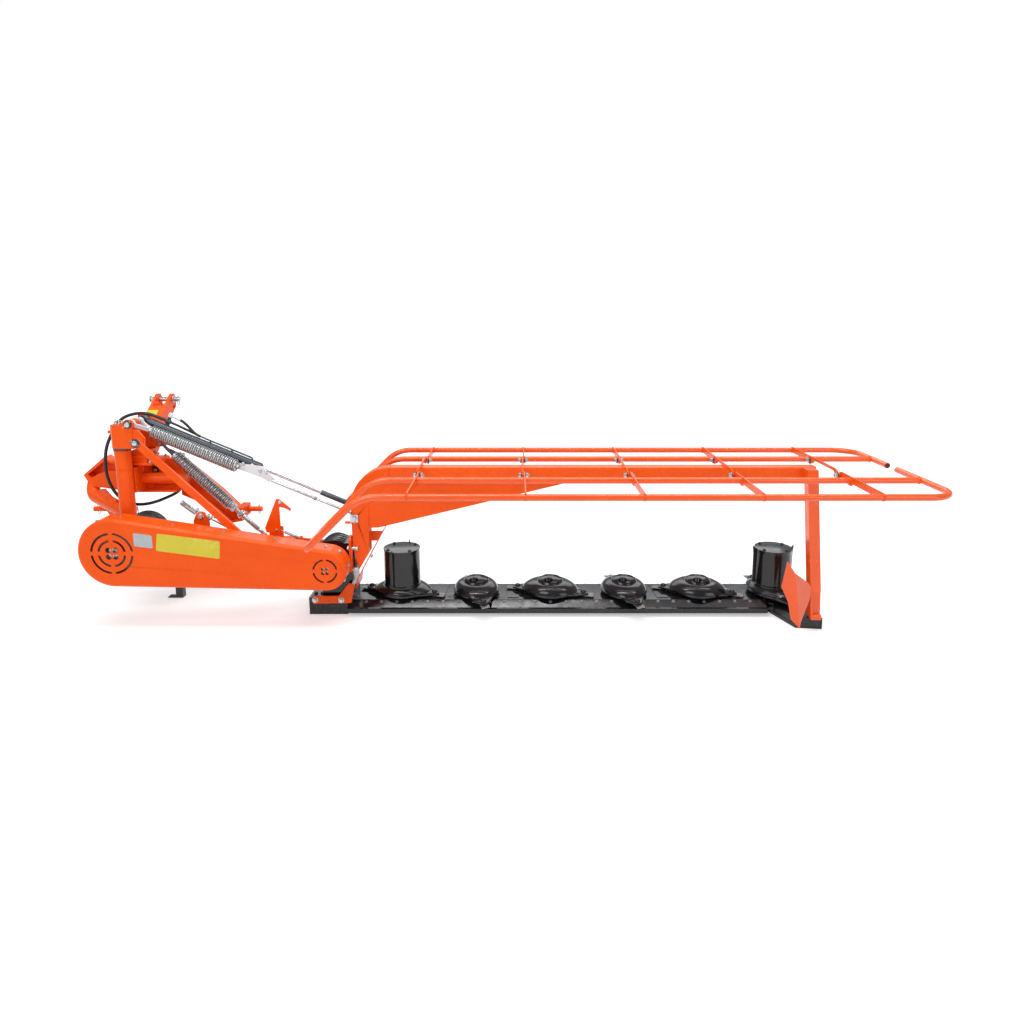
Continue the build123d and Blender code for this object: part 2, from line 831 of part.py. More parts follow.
def brace():
    run_x = brace_foot_x - brace_pin_x
    run_z = brace_foot_z - brace_pin_z
    length = math.hypot(run_x, run_z)
    depth = brace_front_y - brace_rear_y
    bar = Box(length, depth, brace_width)
    for end in (-length / 2, length / 2):
        bar = bar + Pos(end, 0, 0) * Rot(90, 0, 0) * Cylinder(brace_width / 2, depth)
    tilt = math.degrees(math.atan2(-run_z, run_x))
    middle = Vector(brace_pin_x + run_x / 2, brace_rear_y + depth / 2, brace_pin_z + run_z / 2)
    bar = Pos(*middle) * Rot(0, tilt, 0) * bar
    return bar - rod_y(brace_pin_x, brace_pin_z, brace_rear_y - 5, brace_front_y + 5, 12 + seat)


def float_spring():
    start = (float_start[0], float_y, float_start[1])
    end = (float_end[0], float_y, float_end[1])
    coil = coil_sleeve(start, end, float_radius, float_wire, float_turns)
    hook = (float_hook[0], float_y, float_hook[1])
    lead = Vector(*start) - Vector(*end)
    lead = lead / lead.length
    inner = tuple(Vector(*start) - lead * 12)
    outer_end = tuple(Vector(*end) + lead * 12)
    plug_top = rod(inner, tuple(Vector(*start) + lead * 6), float_radius - 4)
    plug_low = rod(outer_end, tuple(Vector(*end) - lead * 6), float_radius - 4)
    shank = rod(hook, inner, 6)
    eye = ring_y(hook[0], hook[2], float_y - 5, float_y + 5, 18, 8 + seat)
    shank = shank - rod_y(hook[0], hook[2], float_y - 20, float_y + 20, 8 + seat)
    screw = rod(outer_end, (float_anchor[0], float_y, float_anchor[1]), 10)
    anchor_z = float_anchor[1] - 22
    screw = screw - rod_y(float_anchor[0], anchor_z, float_y - 20, float_y + 20, anchor_tube_radius + seat)
    return coil + plug_top + plug_low + shank + eye + screw


def breakaway_link():
    y = (breakaway_rear_y + breakaway_front_y) / 2
    outline = [
        (breakaway_left, arm_top_at(breakaway_left)),
        (breakaway_left + 12, breakaway_top_z - 16),
        (breakaway_left + 28, breakaway_top_z),
        (breakaway_right - 26, breakaway_top_z),
        (breakaway_right - 12, breakaway_top_z - 16),
        (breakaway_right, arm_top_at(breakaway_right)),
    ]
    lug = plate_xz(outline, breakaway_rear_y, breakaway_front_y)
    coil_start = (breakaway_left - 52, y, breakaway_top_z + 46)
    coil = coil_sleeve(coil_start, (breakaway_left + 18, y, breakaway_top_z - 8), 14, 4, 10)
    shaft_start = (breakaway_left - 58, y, breakaway_top_z + 51)
    return lug + coil + rod(shaft_start, (breakaway_right + 113, y, breakaway_top_z - 92), 6)


def stand_block(half, z0, z1):
    return block(stand_x - half, stand_x + half, stand_y - half, stand_y + half, z0, z1)


def stand_socket():
    box = stand_block(stand_size / 2 + socket_wall, socket_bottom_z, socket_top_z)
    return box - stand_block(stand_size / 2 + seat + slip, socket_bottom_z - 1, socket_top_z + 1)


def stand_leg():
    half = stand_size / 2
    leg = stand_block(half, 6, stand_top_z)
    foot = block(stand_x - half - 45, stand_x + half, stand_y - half, stand_y + half, 0, 6)
    return leg + foot


def latch_hook():
    outline = [
        (latch_x - 53, latch_z - 10),
        (latch_x - 60, latch_z + 15),
        (latch_x - 22, latch_z + 105),
        (latch_x + 6, latch_z + 170),
        (latch_x + 22, latch_z + 168),
        (latch_x + 80, latch_z + 118),
        (latch_x + 78, latch_z + 106),
        (latch_x + 48, latch_z + 122),
        (latch_x + 20, latch_z + 128),
        (latch_x + 22, latch_z - 14),
    ]
    hook = plate_xz(outline, latch_rear_y, latch_front_y)
    return hook - rod_y(latch_x, latch_z, latch_rear_y - 5, latch_front_y + 5, latch_pin_radius + slip)


def latch_spring():
    y = (latch_rear_y + latch_front_y) / 2
    start = (latch_x + 40, y, latch_z - 7)
    return coil_sleeve(start, (cross_box_right + 43.5, y, cross_box_top_z + 25.5), 8, 2.5, 14)


# Lift strut


def cylinder_barrel():
    start = on_strut(barrel_start, 0, cylinder_y)
    end = on_strut(barrel_end, 0, cylinder_y)
    room_start = on_strut(barrel_start + 30, 0, cylinder_y)
    barrel = rod(start, end, barrel_radius) - rod(room_start, end, piston_rod_radius + slip)
    eye = rod_y(upper_pin_x, upper_pin_z, cylinder_y - 18, cylinder_y + 18, cylinder_eye_radius)
    neck = rod(on_strut(10, 0, cylinder_y), start, 16)
    port_y = cylinder_y + 1
    port = rod(on_strut(port_along, port_above, port_y), on_strut(port_along + 26, port_above, port_y), 11)
    stem_along = port_along + 15
    port = port + rod(on_strut(stem_along, 18, port_y), on_strut(stem_along, port_above + 8, port_y), 9)
    barrel = barrel + eye + neck + port
    bore_radius = upper_pin_radius + slip
    return barrel - rod_y(upper_pin_x, upper_pin_z, cylinder_y - 30, cylinder_y + 30, bore_radius)


def lift_spring():
    start = on_strut(spring_start, -spring_drop, spring_y)
    end = on_strut(spring_end, -spring_drop, spring_y)
    coil = coil_sleeve(start, end, spring_radius, spring_wire, spring_turns)
    plug = rod(start, on_strut(spring_start + 14, -spring_drop, spring_y), spring_radius - 4)
    low_start = on_strut(spring_end - 14, -spring_drop, spring_y)
    low_plug = tube(low_start, end, spring_radius - 4, lower_rod_radius + 3)
    shank_end = on_strut(spring_start + 4, -spring_drop, spring_y)
    shank = rod(on_strut(30, -spring_drop / 2, spring_y), shank_end, 11)
    eye = rod_y(upper_pin_x, upper_pin_z, spring_y - 22, spring_y + 22, 24)
    neck = rod(on_strut(8, 0, spring_y), on_strut(32, -spring_drop / 2, spring_y), 14)
    fork_y = (fork_rear_y + fork_front_y) / 2
    tine = rod_y(upper_pin_x, upper_pin_z, fork_rear_y, fork_front_y, 22)
    tine = tine + rod(on_strut(12, 0, fork_y), on_strut(30, 0, fork_y), fork_arm_radius - 2)
    tine = tine + rod(on_strut(29, 0, fork_y), on_strut(60, -8, spring_y - 7), fork_arm_radius)
    spring = coil + plug + low_plug + shank + eye + neck + tine
    return spring - rod_y(upper_pin_x, upper_pin_z, fork_rear_y - 5, spring_y + 30, upper_pin_radius + slip)


def link_plate():
    y0 = spring_y + lower_rod_radius + 3
    left = spring_end + seat
    corners = (
        (left, -8),
        (left + 18, -4),
        (left + 118, 24),
        (left + 148, 12),
        (left + 203, -14),
        (left + 178, -40),
        (left + 148, -34),
        (left, -38),
    )
    outline = [(on_strut(a, b, 0)[0], on_strut(a, b, 0)[2]) for a, b in corners]
    plate = plate_xz(outline, y0, y0 + 8)
    gland = on_strut(barrel_end - 40, 0, y0 + 4)
    clamp = rod(gland, (gland[0], cylinder_y - barrel_radius + 1, gland[2]), 10)
    barrel_line = (on_strut(0, 0, cylinder_y), on_strut(barrel_end, 0, cylinder_y))
    return plate + clamp - rod(*barrel_line, barrel_radius + seat)


def strut_rods():
    piston_end = on_strut(strut_length - 8, 0, cylinder_y)
    piston = rod(on_strut(piston_start, 0, cylinder_y), piston_end, piston_rod_radius)
    sleeve_start = on_strut(strut_length - 230, 0, cylinder_y)
    sleeve = rod(sleeve_start, on_strut(strut_length - 12, 0, cylinder_y), 14)
    lower_start = on_strut(735, -spring_drop, spring_y)
    lower_end = on_strut(strut_length - 20, -spring_drop, spring_y)
    lower = rod(lower_start, lower_end, lower_rod_radius)
    link = rod(lower_end, on_strut(strut_length, 0, spring_y), lower_rod_radius)
    knee = Pos(*lower_end) * Sphere(lower_rod_radius)
    rods = piston + sleeve + lower + link + knee
    rods = rods + rod_y(tower_pin_x, tower_pin_z, spring_y - 10, spring_y + 10, rod_eye_radius)
    rods = rods + rod_y(tower_pin_x, tower_pin_z, cylinder_y - 14, cylinder_y + 14, rod_eye_radius)
    return rods + rod_y(tower_pin_x, tower_pin_z, cross_pin_rear_y, cylinder_y + 20, tower_pin_radius)


# Hose


def hose(name, route):
    """A hose of straight runs and arcs, each arc as large as its two runs allow."""
    runs = [Vector(*b) - Vector(*a) for a, b in zip(route, route[1:])]
    radii = []
    for before, after in zip(runs, runs[1:]):
        half_turn = math.radians(before.get_angle(after)) / 2
        radii.append(0.45 * min(before.length, after.length) / math.tan(half_turn))
    print(name, "length", round(sum(run.length for run in runs)), "radii", [round(r) for r in radii])
    return bent_tube(route, radii, hose_radius)


def hose_connector():
    run = Vector(*hose_join_top) - Vector(*hose_join)
    gap = run / run.length * seat
    return rod(tuple(Vector(*hose_join) + gap), tuple(Vector(*hose_join_top) - gap), connector_radius)


def hose_coupler():
    x, y, z = hose_end
    return rod((x, y, z + seat), (x, y, z + coupler_length), coupler_radius)


# Cutter bar


def cutter_bar():
    section = [
        (bar_rear_y, bar_bottom_z),
        (bar_rear_y, bar_rear_lip_z),
        (bar_rear_y + 14, bar_rear_lip_z + 2),
        (bar_rear_y + 52, bar_top_z),
        (bar_front_y - 62, bar_top_z),
        (bar_front_y - 26, bar_front_lip_z),
        (bar_front_y, bar_front_lip_z - 2),
        (bar_front_y, bar_bottom_z + 4),
        (bar_front_y - 16, bar_bottom_z),
    ]
    return plate_yz(section, bar_left, bar_right)


def bar_skids():
    skids = []
    for i in range(disc_count - 1):
        x = first_disc_x + i * disc_pitch
        side = [
            (bar_rear_y + 10, 4),
            (bar_rear_y + 30, 0),
            (bar_front_y - 70, 0),
            (bar_front_y - 20, 8),
            (bar_front_y, bar_bottom_z + 4),
            (bar_front_y - 16, bar_bottom_z),
            (bar_rear_y + 10, bar_bottom_z),
        ]
        skids.append(plate_yz(side, x - skid_half_width, x + skid_half_width))
    return Compound(children=skids)


def inner_shoe():
    right = bar_left - slip
    left = inner_shoe_left
    side = [
        (inner_shoe_rear_y, 0),
        (inner_shoe_rear_y, inner_shoe_top_z),
        (inner_shoe_front_y - 30, inner_shoe_top_z),
        (inner_shoe_front_y + 20, inner_shoe_top_z - 10),
        (inner_shoe_front_y, 30),
        (inner_shoe_front_y - 50, 0),
    ]
    return plate_yz(side, left, right)


def foot_bracket():
    y1 = inner_shoe_rear_y - seat
    top = inner_shoe_top_z
    outline = [
        (inner_shoe_left + 23, top - 32),
        (inner_shoe_left + 23, top + 10),
        (pivot_x + 15, top + 12),
        (pivot_x + 70, top + 82),
        (pivot_x + 103, top + 74),
        (pivot_x + 79, top - 28),
    ]
    return plate_xz(outline, y1 - 8, y1)


def outer_shoe():
    corner_y = bar_rear_y + 63
    tail = [(bar_right + 95, outer_shoe_rear_y + 15), (outer_shoe_right, outer_shoe_rear_y)]
    nose = [(outer_shoe_right, outer_shoe_front_y - 60), (outer_shoe_right - 65, outer_shoe_front_y)]
    sole_left = bar_right - 110
    sole_inner = [(sole_left, outer_shoe_front_y), (sole_left, corner_y)]
    sole_plan = [(bar_right + 25, corner_y)] + tail + nose + sole_inner
    sole = plate_xy(sole_plan, 0, bar_bottom_z - seat)
    top_left = bar_right + seat
    top_inner = [(top_left, outer_shoe_front_y), (top_left, corner_y)]
    top_plan = [(bar_right + 40, corner_y - 29)] + tail + nose + top_inner
    return sole + plate_xy(top_plan, bar_bottom_z - seat, outer_shoe_top_z)


def gearbox():
    body = rod_y(pivot_x, pivot_z, gearbox_rear_y, gearbox_front_y, gearbox_radius)
    near = rod_y(pivot_x, pivot_z, 30, gearbox_rear_y, near_trunnion_radius)
    near = near - rod_y(pivot_x, pivot_z, 20, gearbox_rear_y - 20, driven_shaft_radius + slip)
    far = rod_y(pivot_x, pivot_z, gearbox_front_y, 232, far_trunnion_radius)
    neck_left = pivot_x - 75
    neck_right = pivot_x + 82
    low_z = inner_shoe_top_z + seat
    neck = block(neck_left, neck_right, 100, far_carrier_rear_y - 5, low_z, pivot_z - 60)
    neck = neck + block(neck_left, neck_right, 100, 290, low_z, pivot_z - 113)
    foot = block(bar_left + 3, neck_right, 100, 290, bar_top_z + seat, inner_shoe_top_z + 2)
    flange = block(pivot_x + 55, tower_left - seat, gearbox_rear_y + 2, 190, pivot_z - 51, pivot_z + 87)
    return body + near + far + neck + foot + flange


def guard_beam():
    start = tower_left + tower_bend_radius
    return block(start, beam_right, beam_rear_y, beam_front_y, beam_bottom_z, beam_top_z)


def tower():
    bend = tower_bend_radius
    corner_x = tower_left + bend
    corner_z = beam_top_z - bend
    middle = math.sqrt(0.5) * bend
    y0 = beam_rear_y
    outline = [
        ThreePointArc(
            (corner_x, y0, beam_top_z),
            (corner_x - middle, y0, corner_z + middle),
            (tower_left, y0, corner_z),
        ),
        Polyline(
            (tower_left, y0, corner_z),
            (tower_left, y0, 400),
            (tower_left + 29, y0, 271),
            (tower_right - 8, y0, 362),
            (tower_right, y0, 620),
            (tower_right + 90, y0, beam_bottom_z),
            (corner_x, y0, beam_bottom_z),
            (corner_x, y0, beam_top_z),
        ),
    ]
    post = extrude(make_face(outline), amount=beam_front_y - beam_rear_y, dir=(0, 1, 0))
    bore = tower_pin_radius + seat
    return post - rod_y(tower_pin_x, tower_pin_z, beam_rear_y - 5, beam_front_y + 5, bore)


def tower_gussets():
    gusset = [
        (tower_right + 90, beam_bottom_z - seat),
        (tower_right + seat, 620),
        (tower_right + seat - 3, gusset_bottom_z),
        (tower_right + gusset_foot, gusset_bottom_z),
        (gusset_tip_x, beam_bottom_z - seat),
    ]
    near = plate_xz(gusset, beam_rear_y, beam_rear_y + gusset_thickness)
    far = plate_xz(gusset, beam_front_y - gusset_thickness, beam_front_y)
    return Compound(children=[near, far])


def guard_brackets():
    arch = [
        (rear_hinge_y - 12, rail_z - 14),
        (rear_hinge_y - 14, rail_z + 6),
        (rear_hinge_y + 40, beam_top_z + 15),
        (front_hinge_y - 35, beam_top_z + 15),
        (front_hinge_y + 8, rail_z + 6),
        (front_hinge_y + 8, rail_z - 14),
        (front_hinge_y - 20, rail_z - 14),
        (front_hinge_y - 50, beam_top_z + seat),
        (rear_hinge_y + 50, beam_top_z + seat),
        (rear_hinge_y + 20, rail_z - 14),
    ]
    brackets = []
    for i in range(cross_bar_count):
        x = first_cross_bar_x + i * cross_bar_pitch
        bracket = plate_yz(arch, x - cross_bar_thickness / 2, x + cross_bar_thickness / 2)
        far_end = x + cross_bar_thickness + cross_bar_gap + 14
        for y in (rear_hinge_y, front_hinge_y):
            bracket = bracket + rod((x - 14, y, rail_z), (far_end, y, rail_z), hinge_bolt_radius)
        brackets.append(bracket)
    return Compound(children=brackets)


def tower_pin():
    x = tower_pin_x
    z = tower_pin_z
    pin = rod_y(x, z, beam_rear_y - 22, beam_front_y + 0.5, tower_pin_radius)
    return pin + block(x - 20, x + 20, beam_rear_y - 12, beam_rear_y - seat, z - 20, z + 20)


def outer_post():
    run = Vector(*post_head) - Vector(*post_foot)
    start = Vector(*post_foot) - run * 0.1
    shape = Plane(origin=start, x_dir=(1, 0, 0), z_dir=run) * Box(
        post_width, post_depth, run.length * 1.2, align=(Align.CENTER, Align.CENTER, Align.MIN)
    )
    room = block(1600, 1900, -300, beam_rear_y - seat, outer_shoe_top_z + seat, beam_top_z)
    window_left = post_foot[0] - 19
    window_rear = post_foot[1] - post_depth
    window = block(
        window_left,
        window_left + 60,
        window_rear,
        window_rear + post_depth / 2 + post_window_depth,
        post_window_low_z,
        post_window_high_z,
    )
    return (shape & room) - window


def folded_panel(points, fold_top, fold_low, slope):
    """A flat panel that leans forwards with the distance from the fold line."""
    fold_x = fold_low[0] - fold_top[0]
    fold_z = fold_low[1] - fold_top[1]
    length = math.hypot(fold_x, fold_z)
    corners = []
    for x, z in points:
        away = abs((x - fold_top[0]) * fold_z - (z - fold_top[1]) * fold_x) / length
        corners.append((x, divider_fold_y + slope * away, z))
    return extrude(make_face(Polyline(*corners, close=True)), amount=divider_thickness, dir=(0, 1, 0))


def divider_plate():
    fold_top = divider_fold_top
    fold_low = divider_fold_low
    left = [(1560, 385), (1545, 246), (1579, 172), (1597, 83), fold_low, fold_top]
    right = [fold_top, fold_low, (1645, 70), (1702, 170), (1713, 225), (1690, 255)]
    return folded_panel(left, fold_top, fold_low, 0.5) + folded_panel(right, fold_top, fold_low, 0.75)


def deflector():
    y0 = beam_front_y + seat
    line = [(-462, 457), (-458, 455), (-604, 185), (-610, 135), (-614, 135), (-608, 187)]
    tab = [(-460.2, 456), (-489.2, 403), (-562, 403), (-562, 440), (-530, 456)]
    return plate_xz(line, y0, 250) + plate_xz(tab, y0, y0 + deflector_thickness)


def disc(index, rim_turn):
    """Oval disc with two ears and two knives, fused as one bolted piece."""
    x = first_disc_x + index * disc_pitch
    low = disc_rim_z
    high = disc_rim_z + disc_rim_thickness
    ear = Pos(disc_ear_reach, 0, 0) * Circle(disc_ear_radius)
    far_ear = Pos(-disc_ear_reach, 0, 0) * Circle(disc_ear_radius)
    plan = make_hull((Circle(disc_dome_radius).edges() + ear.edges() + far_ear.edges()))
    rim = Pos(0, 0, low) * extrude(plan, amount=high - low)
    flare = Cone(disc_dome_radius - 2, disc_neck_radius, disc_neck_z - high)
    flare = Pos(0, 0, (high + disc_neck_z) / 2) * flare
    base = rod((0, 0, bar_top_z + seat), (0, 0, low + seat), hub_radius)
    shape = rim + flare + base
    for side in (-1, 1):
        middle = side * (knife_tip - knife_length / 2)
        knife_z = low - knife_thickness / 2
        shape = shape + Pos(middle, 0, knife_z) * Box(knife_length, knife_width, knife_thickness)
        head = Pos(side * disc_ear_reach, 0, high + 5) * Cylinder(knife_bolt_radius, 10)
        shape = shape + head
    if index in (0, disc_count - 1):
        shape = shape + rod((0, 0, disc_neck_z), (0, 0, disc_neck_z + 6), 30)
    else:
        cap_height = disc_top_z - disc_neck_z
        cap_radius = (disc_neck_radius**2 + cap_height**2) / (2 * cap_height)
        ball = Pos(0, 0, disc_top_z - cap_radius) * Sphere(cap_radius)
        keep = rod((0, 0, disc_neck_z), (0, 0, disc_top_z), disc_neck_radius)
        shape = shape + (ball & keep)
    return Pos(x, disc_y, 0) * Rot(0, 0, rim_turn) * shape


def drum(index):
    x = first_disc_x + index * disc_pitch
    low = disc_neck_z + seat
    shell = rod((x, disc_y, low), (x, disc_y, drum_top_z), drum_radius)
    room = rod((x, disc_y, low - 1), (x, disc_y, drum_top_z - drum_wall), drum_radius - drum_wall)
    return shell - room


# Guard frames


def hoop(inner_y, outer_y, gap_y):
    """A pair of rails as one bent tube: sloped down at the inner end, closed at the outer end."""
    points = [
        (rail_right - rail_radius + 2, inner_y, rail_z),
        (rail_bend_x, inner_y, rail_z),
        (rail_end_x, inner_y, rail_end_z),
        (rail_end_x, outer_y, rail_end_z),
        (rail_bend_x, outer_y, rail_z),
        (rail_right, outer_y, rail_z),
        (rail_right, gap_y, rail_z),
    ]
    tail = rail_tail_corner_radius
    bends = [rail_bend_radius, tail, tail, rail_bend_radius, rail_corner_radius]
    return bent_tube(points, bends, rail_radius)


def guard_bars(hinge_y, inner_y, outer_y):
    """Flat bars on edge that carry two rails and hinge on the beam's brackets."""
    side = 1 if outer_y > hinge_y else -1
    outline = [
        (hinge_y - side * 14, rail_z - 10),
        (hinge_y - side * 14, rail_z + 10),
        (hinge_y + side * 10, cross_bar_high_z),
        (outer_y, cross_bar_high_z),
        (outer_y, cross_bar_low_z),
        (inner_y + side * 26, cross_bar_low_z),
        (inner_y + side * 16, cross_bar_low_z - 12),
        (inner_y - side * 18, cross_bar_low_z - 12),
        (hinge_y - side * 8, rail_z - 15),
    ]
    bars = []
    for i in range(cross_bar_count):
        x0 = first_cross_bar_x + i * cross_bar_pitch + cross_bar_thickness / 2 + cross_bar_gap
        x1 = x0 + cross_bar_thickness
        bar = plate_yz(outline, x0, x1)
        for y in (inner_y, outer_y):
            bar = bar - rod((x0 - 1, y, rail_z), (x1 + 1, y, rail_z), rail_radius + seat)
        bar = bar - rod((x0 - 1, hinge_y, rail_z), (x1 + 1, hinge_y, rail_z), hinge_bolt_radius + slip)
        bars.append(bar)
    return Compound(children=bars)


def build_parts():
    parts = {
        "hitch_frame": hitch_frame(),
        "lower_link_pins": lower_link_pins(),
        "mast": mast(),
        "top_link_pin": top_link_pin(),
        "post_sleeve": post_sleeve(),
        "head_bracket": head_bracket(),
        "upper_pin": upper_pin(),
        "arm_beam": arm_beam(),
        "brace": brace(),
        "float_spring": float_spring(),
        "breakaway_link": breakaway_link(),
        "belt_cover": belt_cover(),
        "cover_back": cover_back(),
        "belts": belts(),
        "pto_shield": pto_shield(),
        "stand_socket": stand_socket(),
        "latch_spring": latch_spring(),
        "input_shaft": input_shaft(),
        "drive_pulley": pulley(drive_x, drive_z, drive_pulley_radius, input_shaft_radius),
        "driven_shaft": driven_shaft(),
        "driven_pulley": pulley(pivot_x, pivot_z, driven_pulley_radius, driven_shaft_radius),
        "stand_leg": stand_leg(),
        "latch_hook": latch_hook(),
        "cylinder_barrel": cylinder_barrel(),
        "lift_spring": lift_spring(),
        "link_plate": link_plate(),
        "strut_rods": strut_rods(),
        "hose_lower": hose("hose_lower", hose_lower_route),
        "hose_upper": hose("hose_upper", hose_upper_route),
        "hose_connector": hose_connector(),
        "hose_coupler": hose_coupler(),
        "cutter_bar": cutter_bar(),
        "bar_skids": bar_skids(),
        "inner_shoe": inner_shoe(),
        "foot_bracket": foot_bracket(),
        "outer_shoe": outer_shoe(),
        "gearbox": gearbox(),
        "guard_beam": guard_beam(),
        "tower": tower(),
        "tower_gussets": tower_gussets(),
        "guard_brackets": guard_brackets(),
        "tower_pin": tower_pin(),
        "outer_post": outer_post(),
        "divider_plate": divider_plate(),
        "deflector": deflector(),
        "rear_hoop": hoop(rear_inner_rail_y, rear_outer_rail_y, rear_end_gap_y),
        "rear_guard_bars": guard_bars(rear_hinge_y, rear_inner_rail_y, rear_outer_rail_y),
        "front_hoop": hoop(front_inner_rail_y, front_outer_rail_y, front_end_gap_y),
        "front_guard_bars": guard_bars(front_hinge_y, front_inner_rail_y, front_outer_rail_y),
        "drum_inner": drum(0),
        "drum_outer": drum(disc_count - 1),
    }
    for i in range(disc_count):
        turn = -disc_rest_turn if i % 2 == 0 else 90 + disc_rest_turn
        parts[f"disc_{i + 1}"] = disc(i, turn)
    return parts


os.makedirs("parts", exist_ok=True)
for name, shape in build_parts().items():
    export_step(shape, f"parts/{name}.step")
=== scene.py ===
import json
import math

import bmesh
import bpy
from mathutils import Matrix, Vector


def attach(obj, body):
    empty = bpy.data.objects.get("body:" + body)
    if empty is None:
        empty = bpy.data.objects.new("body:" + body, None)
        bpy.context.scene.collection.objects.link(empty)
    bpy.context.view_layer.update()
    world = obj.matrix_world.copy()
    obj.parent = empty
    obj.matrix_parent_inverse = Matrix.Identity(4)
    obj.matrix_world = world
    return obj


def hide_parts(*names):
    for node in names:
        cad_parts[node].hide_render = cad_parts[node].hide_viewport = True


# Disc mower, seen from behind its cutter bar.
# X runs along the bar to its outer end, Y forwards, Z up, in metres.
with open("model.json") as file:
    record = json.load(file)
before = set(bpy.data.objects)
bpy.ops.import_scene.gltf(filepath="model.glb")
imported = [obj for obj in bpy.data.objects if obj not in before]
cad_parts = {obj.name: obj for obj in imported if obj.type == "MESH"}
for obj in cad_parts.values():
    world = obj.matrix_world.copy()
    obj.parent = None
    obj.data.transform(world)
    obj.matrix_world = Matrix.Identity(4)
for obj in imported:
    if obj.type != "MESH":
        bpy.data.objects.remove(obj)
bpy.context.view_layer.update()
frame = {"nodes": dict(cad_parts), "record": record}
nodes = frame["nodes"]
scene = bpy.context.scene

# ---- camera

CAMERA_AT = (0.235, -3.62, 1.61)
CAMERA_PITCH = 10.5
FOCAL_PIXELS = 740
IMAGE_PIXELS = 1024
CENTRE_PIXEL = (516, 443.2)

camera_data = bpy.data.cameras.new("camera")
camera_data.sensor_width = 36
camera_data.lens = FOCAL_PIXELS / IMAGE_PIXELS * camera_data.sensor_width
camera_data.shift_x = (IMAGE_PIXELS / 2 - CENTRE_PIXEL[0]) / IMAGE_PIXELS
camera_data.shift_y = (CENTRE_PIXEL[1] - IMAGE_PIXELS / 2) / IMAGE_PIXELS
camera_data.clip_end = 200
camera = bpy.data.objects.new("camera", camera_data)
camera.location = CAMERA_AT
camera.rotation_euler = (math.radians(90 - CAMERA_PITCH), 0, 0)
scene.collection.objects.link(camera)
scene.camera = camera


# ---- materials


def shader(name, colour, roughness, metallic=0.0, coat=0.0, specular=0.5):
    """A new material with its Principled node; the constants are set on the shader's own sockets."""
    material = bpy.data.materials.new(name)
    material.use_nodes = True
    tree = material.node_tree
    bsdf = tree.nodes["Principled BSDF"]
    bsdf.inputs["Base Color"].default_value = (*colour, 1)
    bsdf.inputs["Roughness"].default_value = roughness
    bsdf.inputs["Metallic"].default_value = metallic
    bsdf.inputs["Specular IOR Level"].default_value = specular
    bsdf.inputs["Coat Weight"].default_value = coat
    bsdf.inputs["Coat Roughness"].default_value = 0.12
    return material, tree, bsdf


def noise(tree, scale, detail, stretch=(1, 1, 1)):
    place = tree.nodes.new("ShaderNodeTexCoord")
    mapping = tree.nodes.new("ShaderNodeMapping")
    mapping.inputs["Scale"].default_value = stretch
    tree.links.new(place.outputs["Object"], mapping.inputs["Vector"])
    node = tree.nodes.new("ShaderNodeTexNoise")
    node.inputs["Scale"].default_value = scale
    node.inputs["Detail"].default_value = detail
    node.inputs["Roughness"].default_value = 0.55
    tree.links.new(mapping.outputs["Vector"], node.inputs["Vector"])
    return node.outputs["Fac"]


def remap(tree, value, low, high, out_low, out_high):
    node = tree.nodes.new("ShaderNodeMapRange")
    node.inputs["From Min"].default_value = low
    node.inputs["From Max"].default_value = high
    node.inputs["To Min"].default_value = out_low
    node.inputs["To Max"].default_value = out_high
    tree.links.new(value, node.inputs["Value"])
    return node.outputs["Result"]


def patches(tree, scale, detail, low, high, amount=1):
    """Blotches from 0 to an amount."""
    return remap(tree, noise(tree, scale, detail), low, high, 0, amount)


def finish(tree, bsdf, base, spread, low, high):
    """Links a colour, and a roughness that wanders from low to high."""
    tree.links.new(base, bsdf.inputs["Base Color"])
    tree.links.new(remap(tree, spread, 0.3, 0.7, low, high), bsdf.inputs["Roughness"])


def calculate(tree, operation, a, b):
    node = tree.nodes.new("ShaderNodeMath")
    node.operation = operation
    for socket, value in zip(node.inputs, (a, b)):
        if isinstance(value, (int, float)):
            socket.default_value = value
        else:
            tree.links.new(value, socket)
    return node.outputs["Value"]


def mix_colour(tree, factor, a, b):
    node = tree.nodes.new("ShaderNodeMix")
    node.data_type = "RGBA"
    tree.links.new(factor, node.inputs["Factor"])
    for key, value in (("A", a), ("B", b)):
        socket = next(s for s in node.inputs if s.name == key and s.type == "RGBA")
        if isinstance(value, tuple):
            socket.default_value = (*value, 1)
        else:
            tree.links.new(value, socket)
    return next(s for s in node.outputs if s.type == "RGBA")


def bump(tree, bsdf, height, strength, distance):
    node = tree.nodes.new("ShaderNodeBump")
    node.inputs["Strength"].default_value = strength
    node.inputs["Distance"].default_value = distance
    tree.links.new(height, node.inputs["Height"])
    tree.links.new(node.outputs["Normal"], bsdf.inputs["Normal"])


def edge_mask(tree, low, high):
    geometry = tree.nodes.new("ShaderNodeNewGeometry")
    return remap(tree, geometry.outputs["Pointiness"], low, high, 0, 1)


def up_mask(tree, low, high):
    """1 on surfaces that face up, where dust settles."""
    geometry = tree.nodes.new("ShaderNodeNewGeometry")
    split = tree.nodes.new("ShaderNodeSeparateXYZ")
    tree.links.new(geometry.outputs["Normal"], split.inputs["Vector"])
    return remap(tree, split.outputs["Z"], low, high, 0, 1)


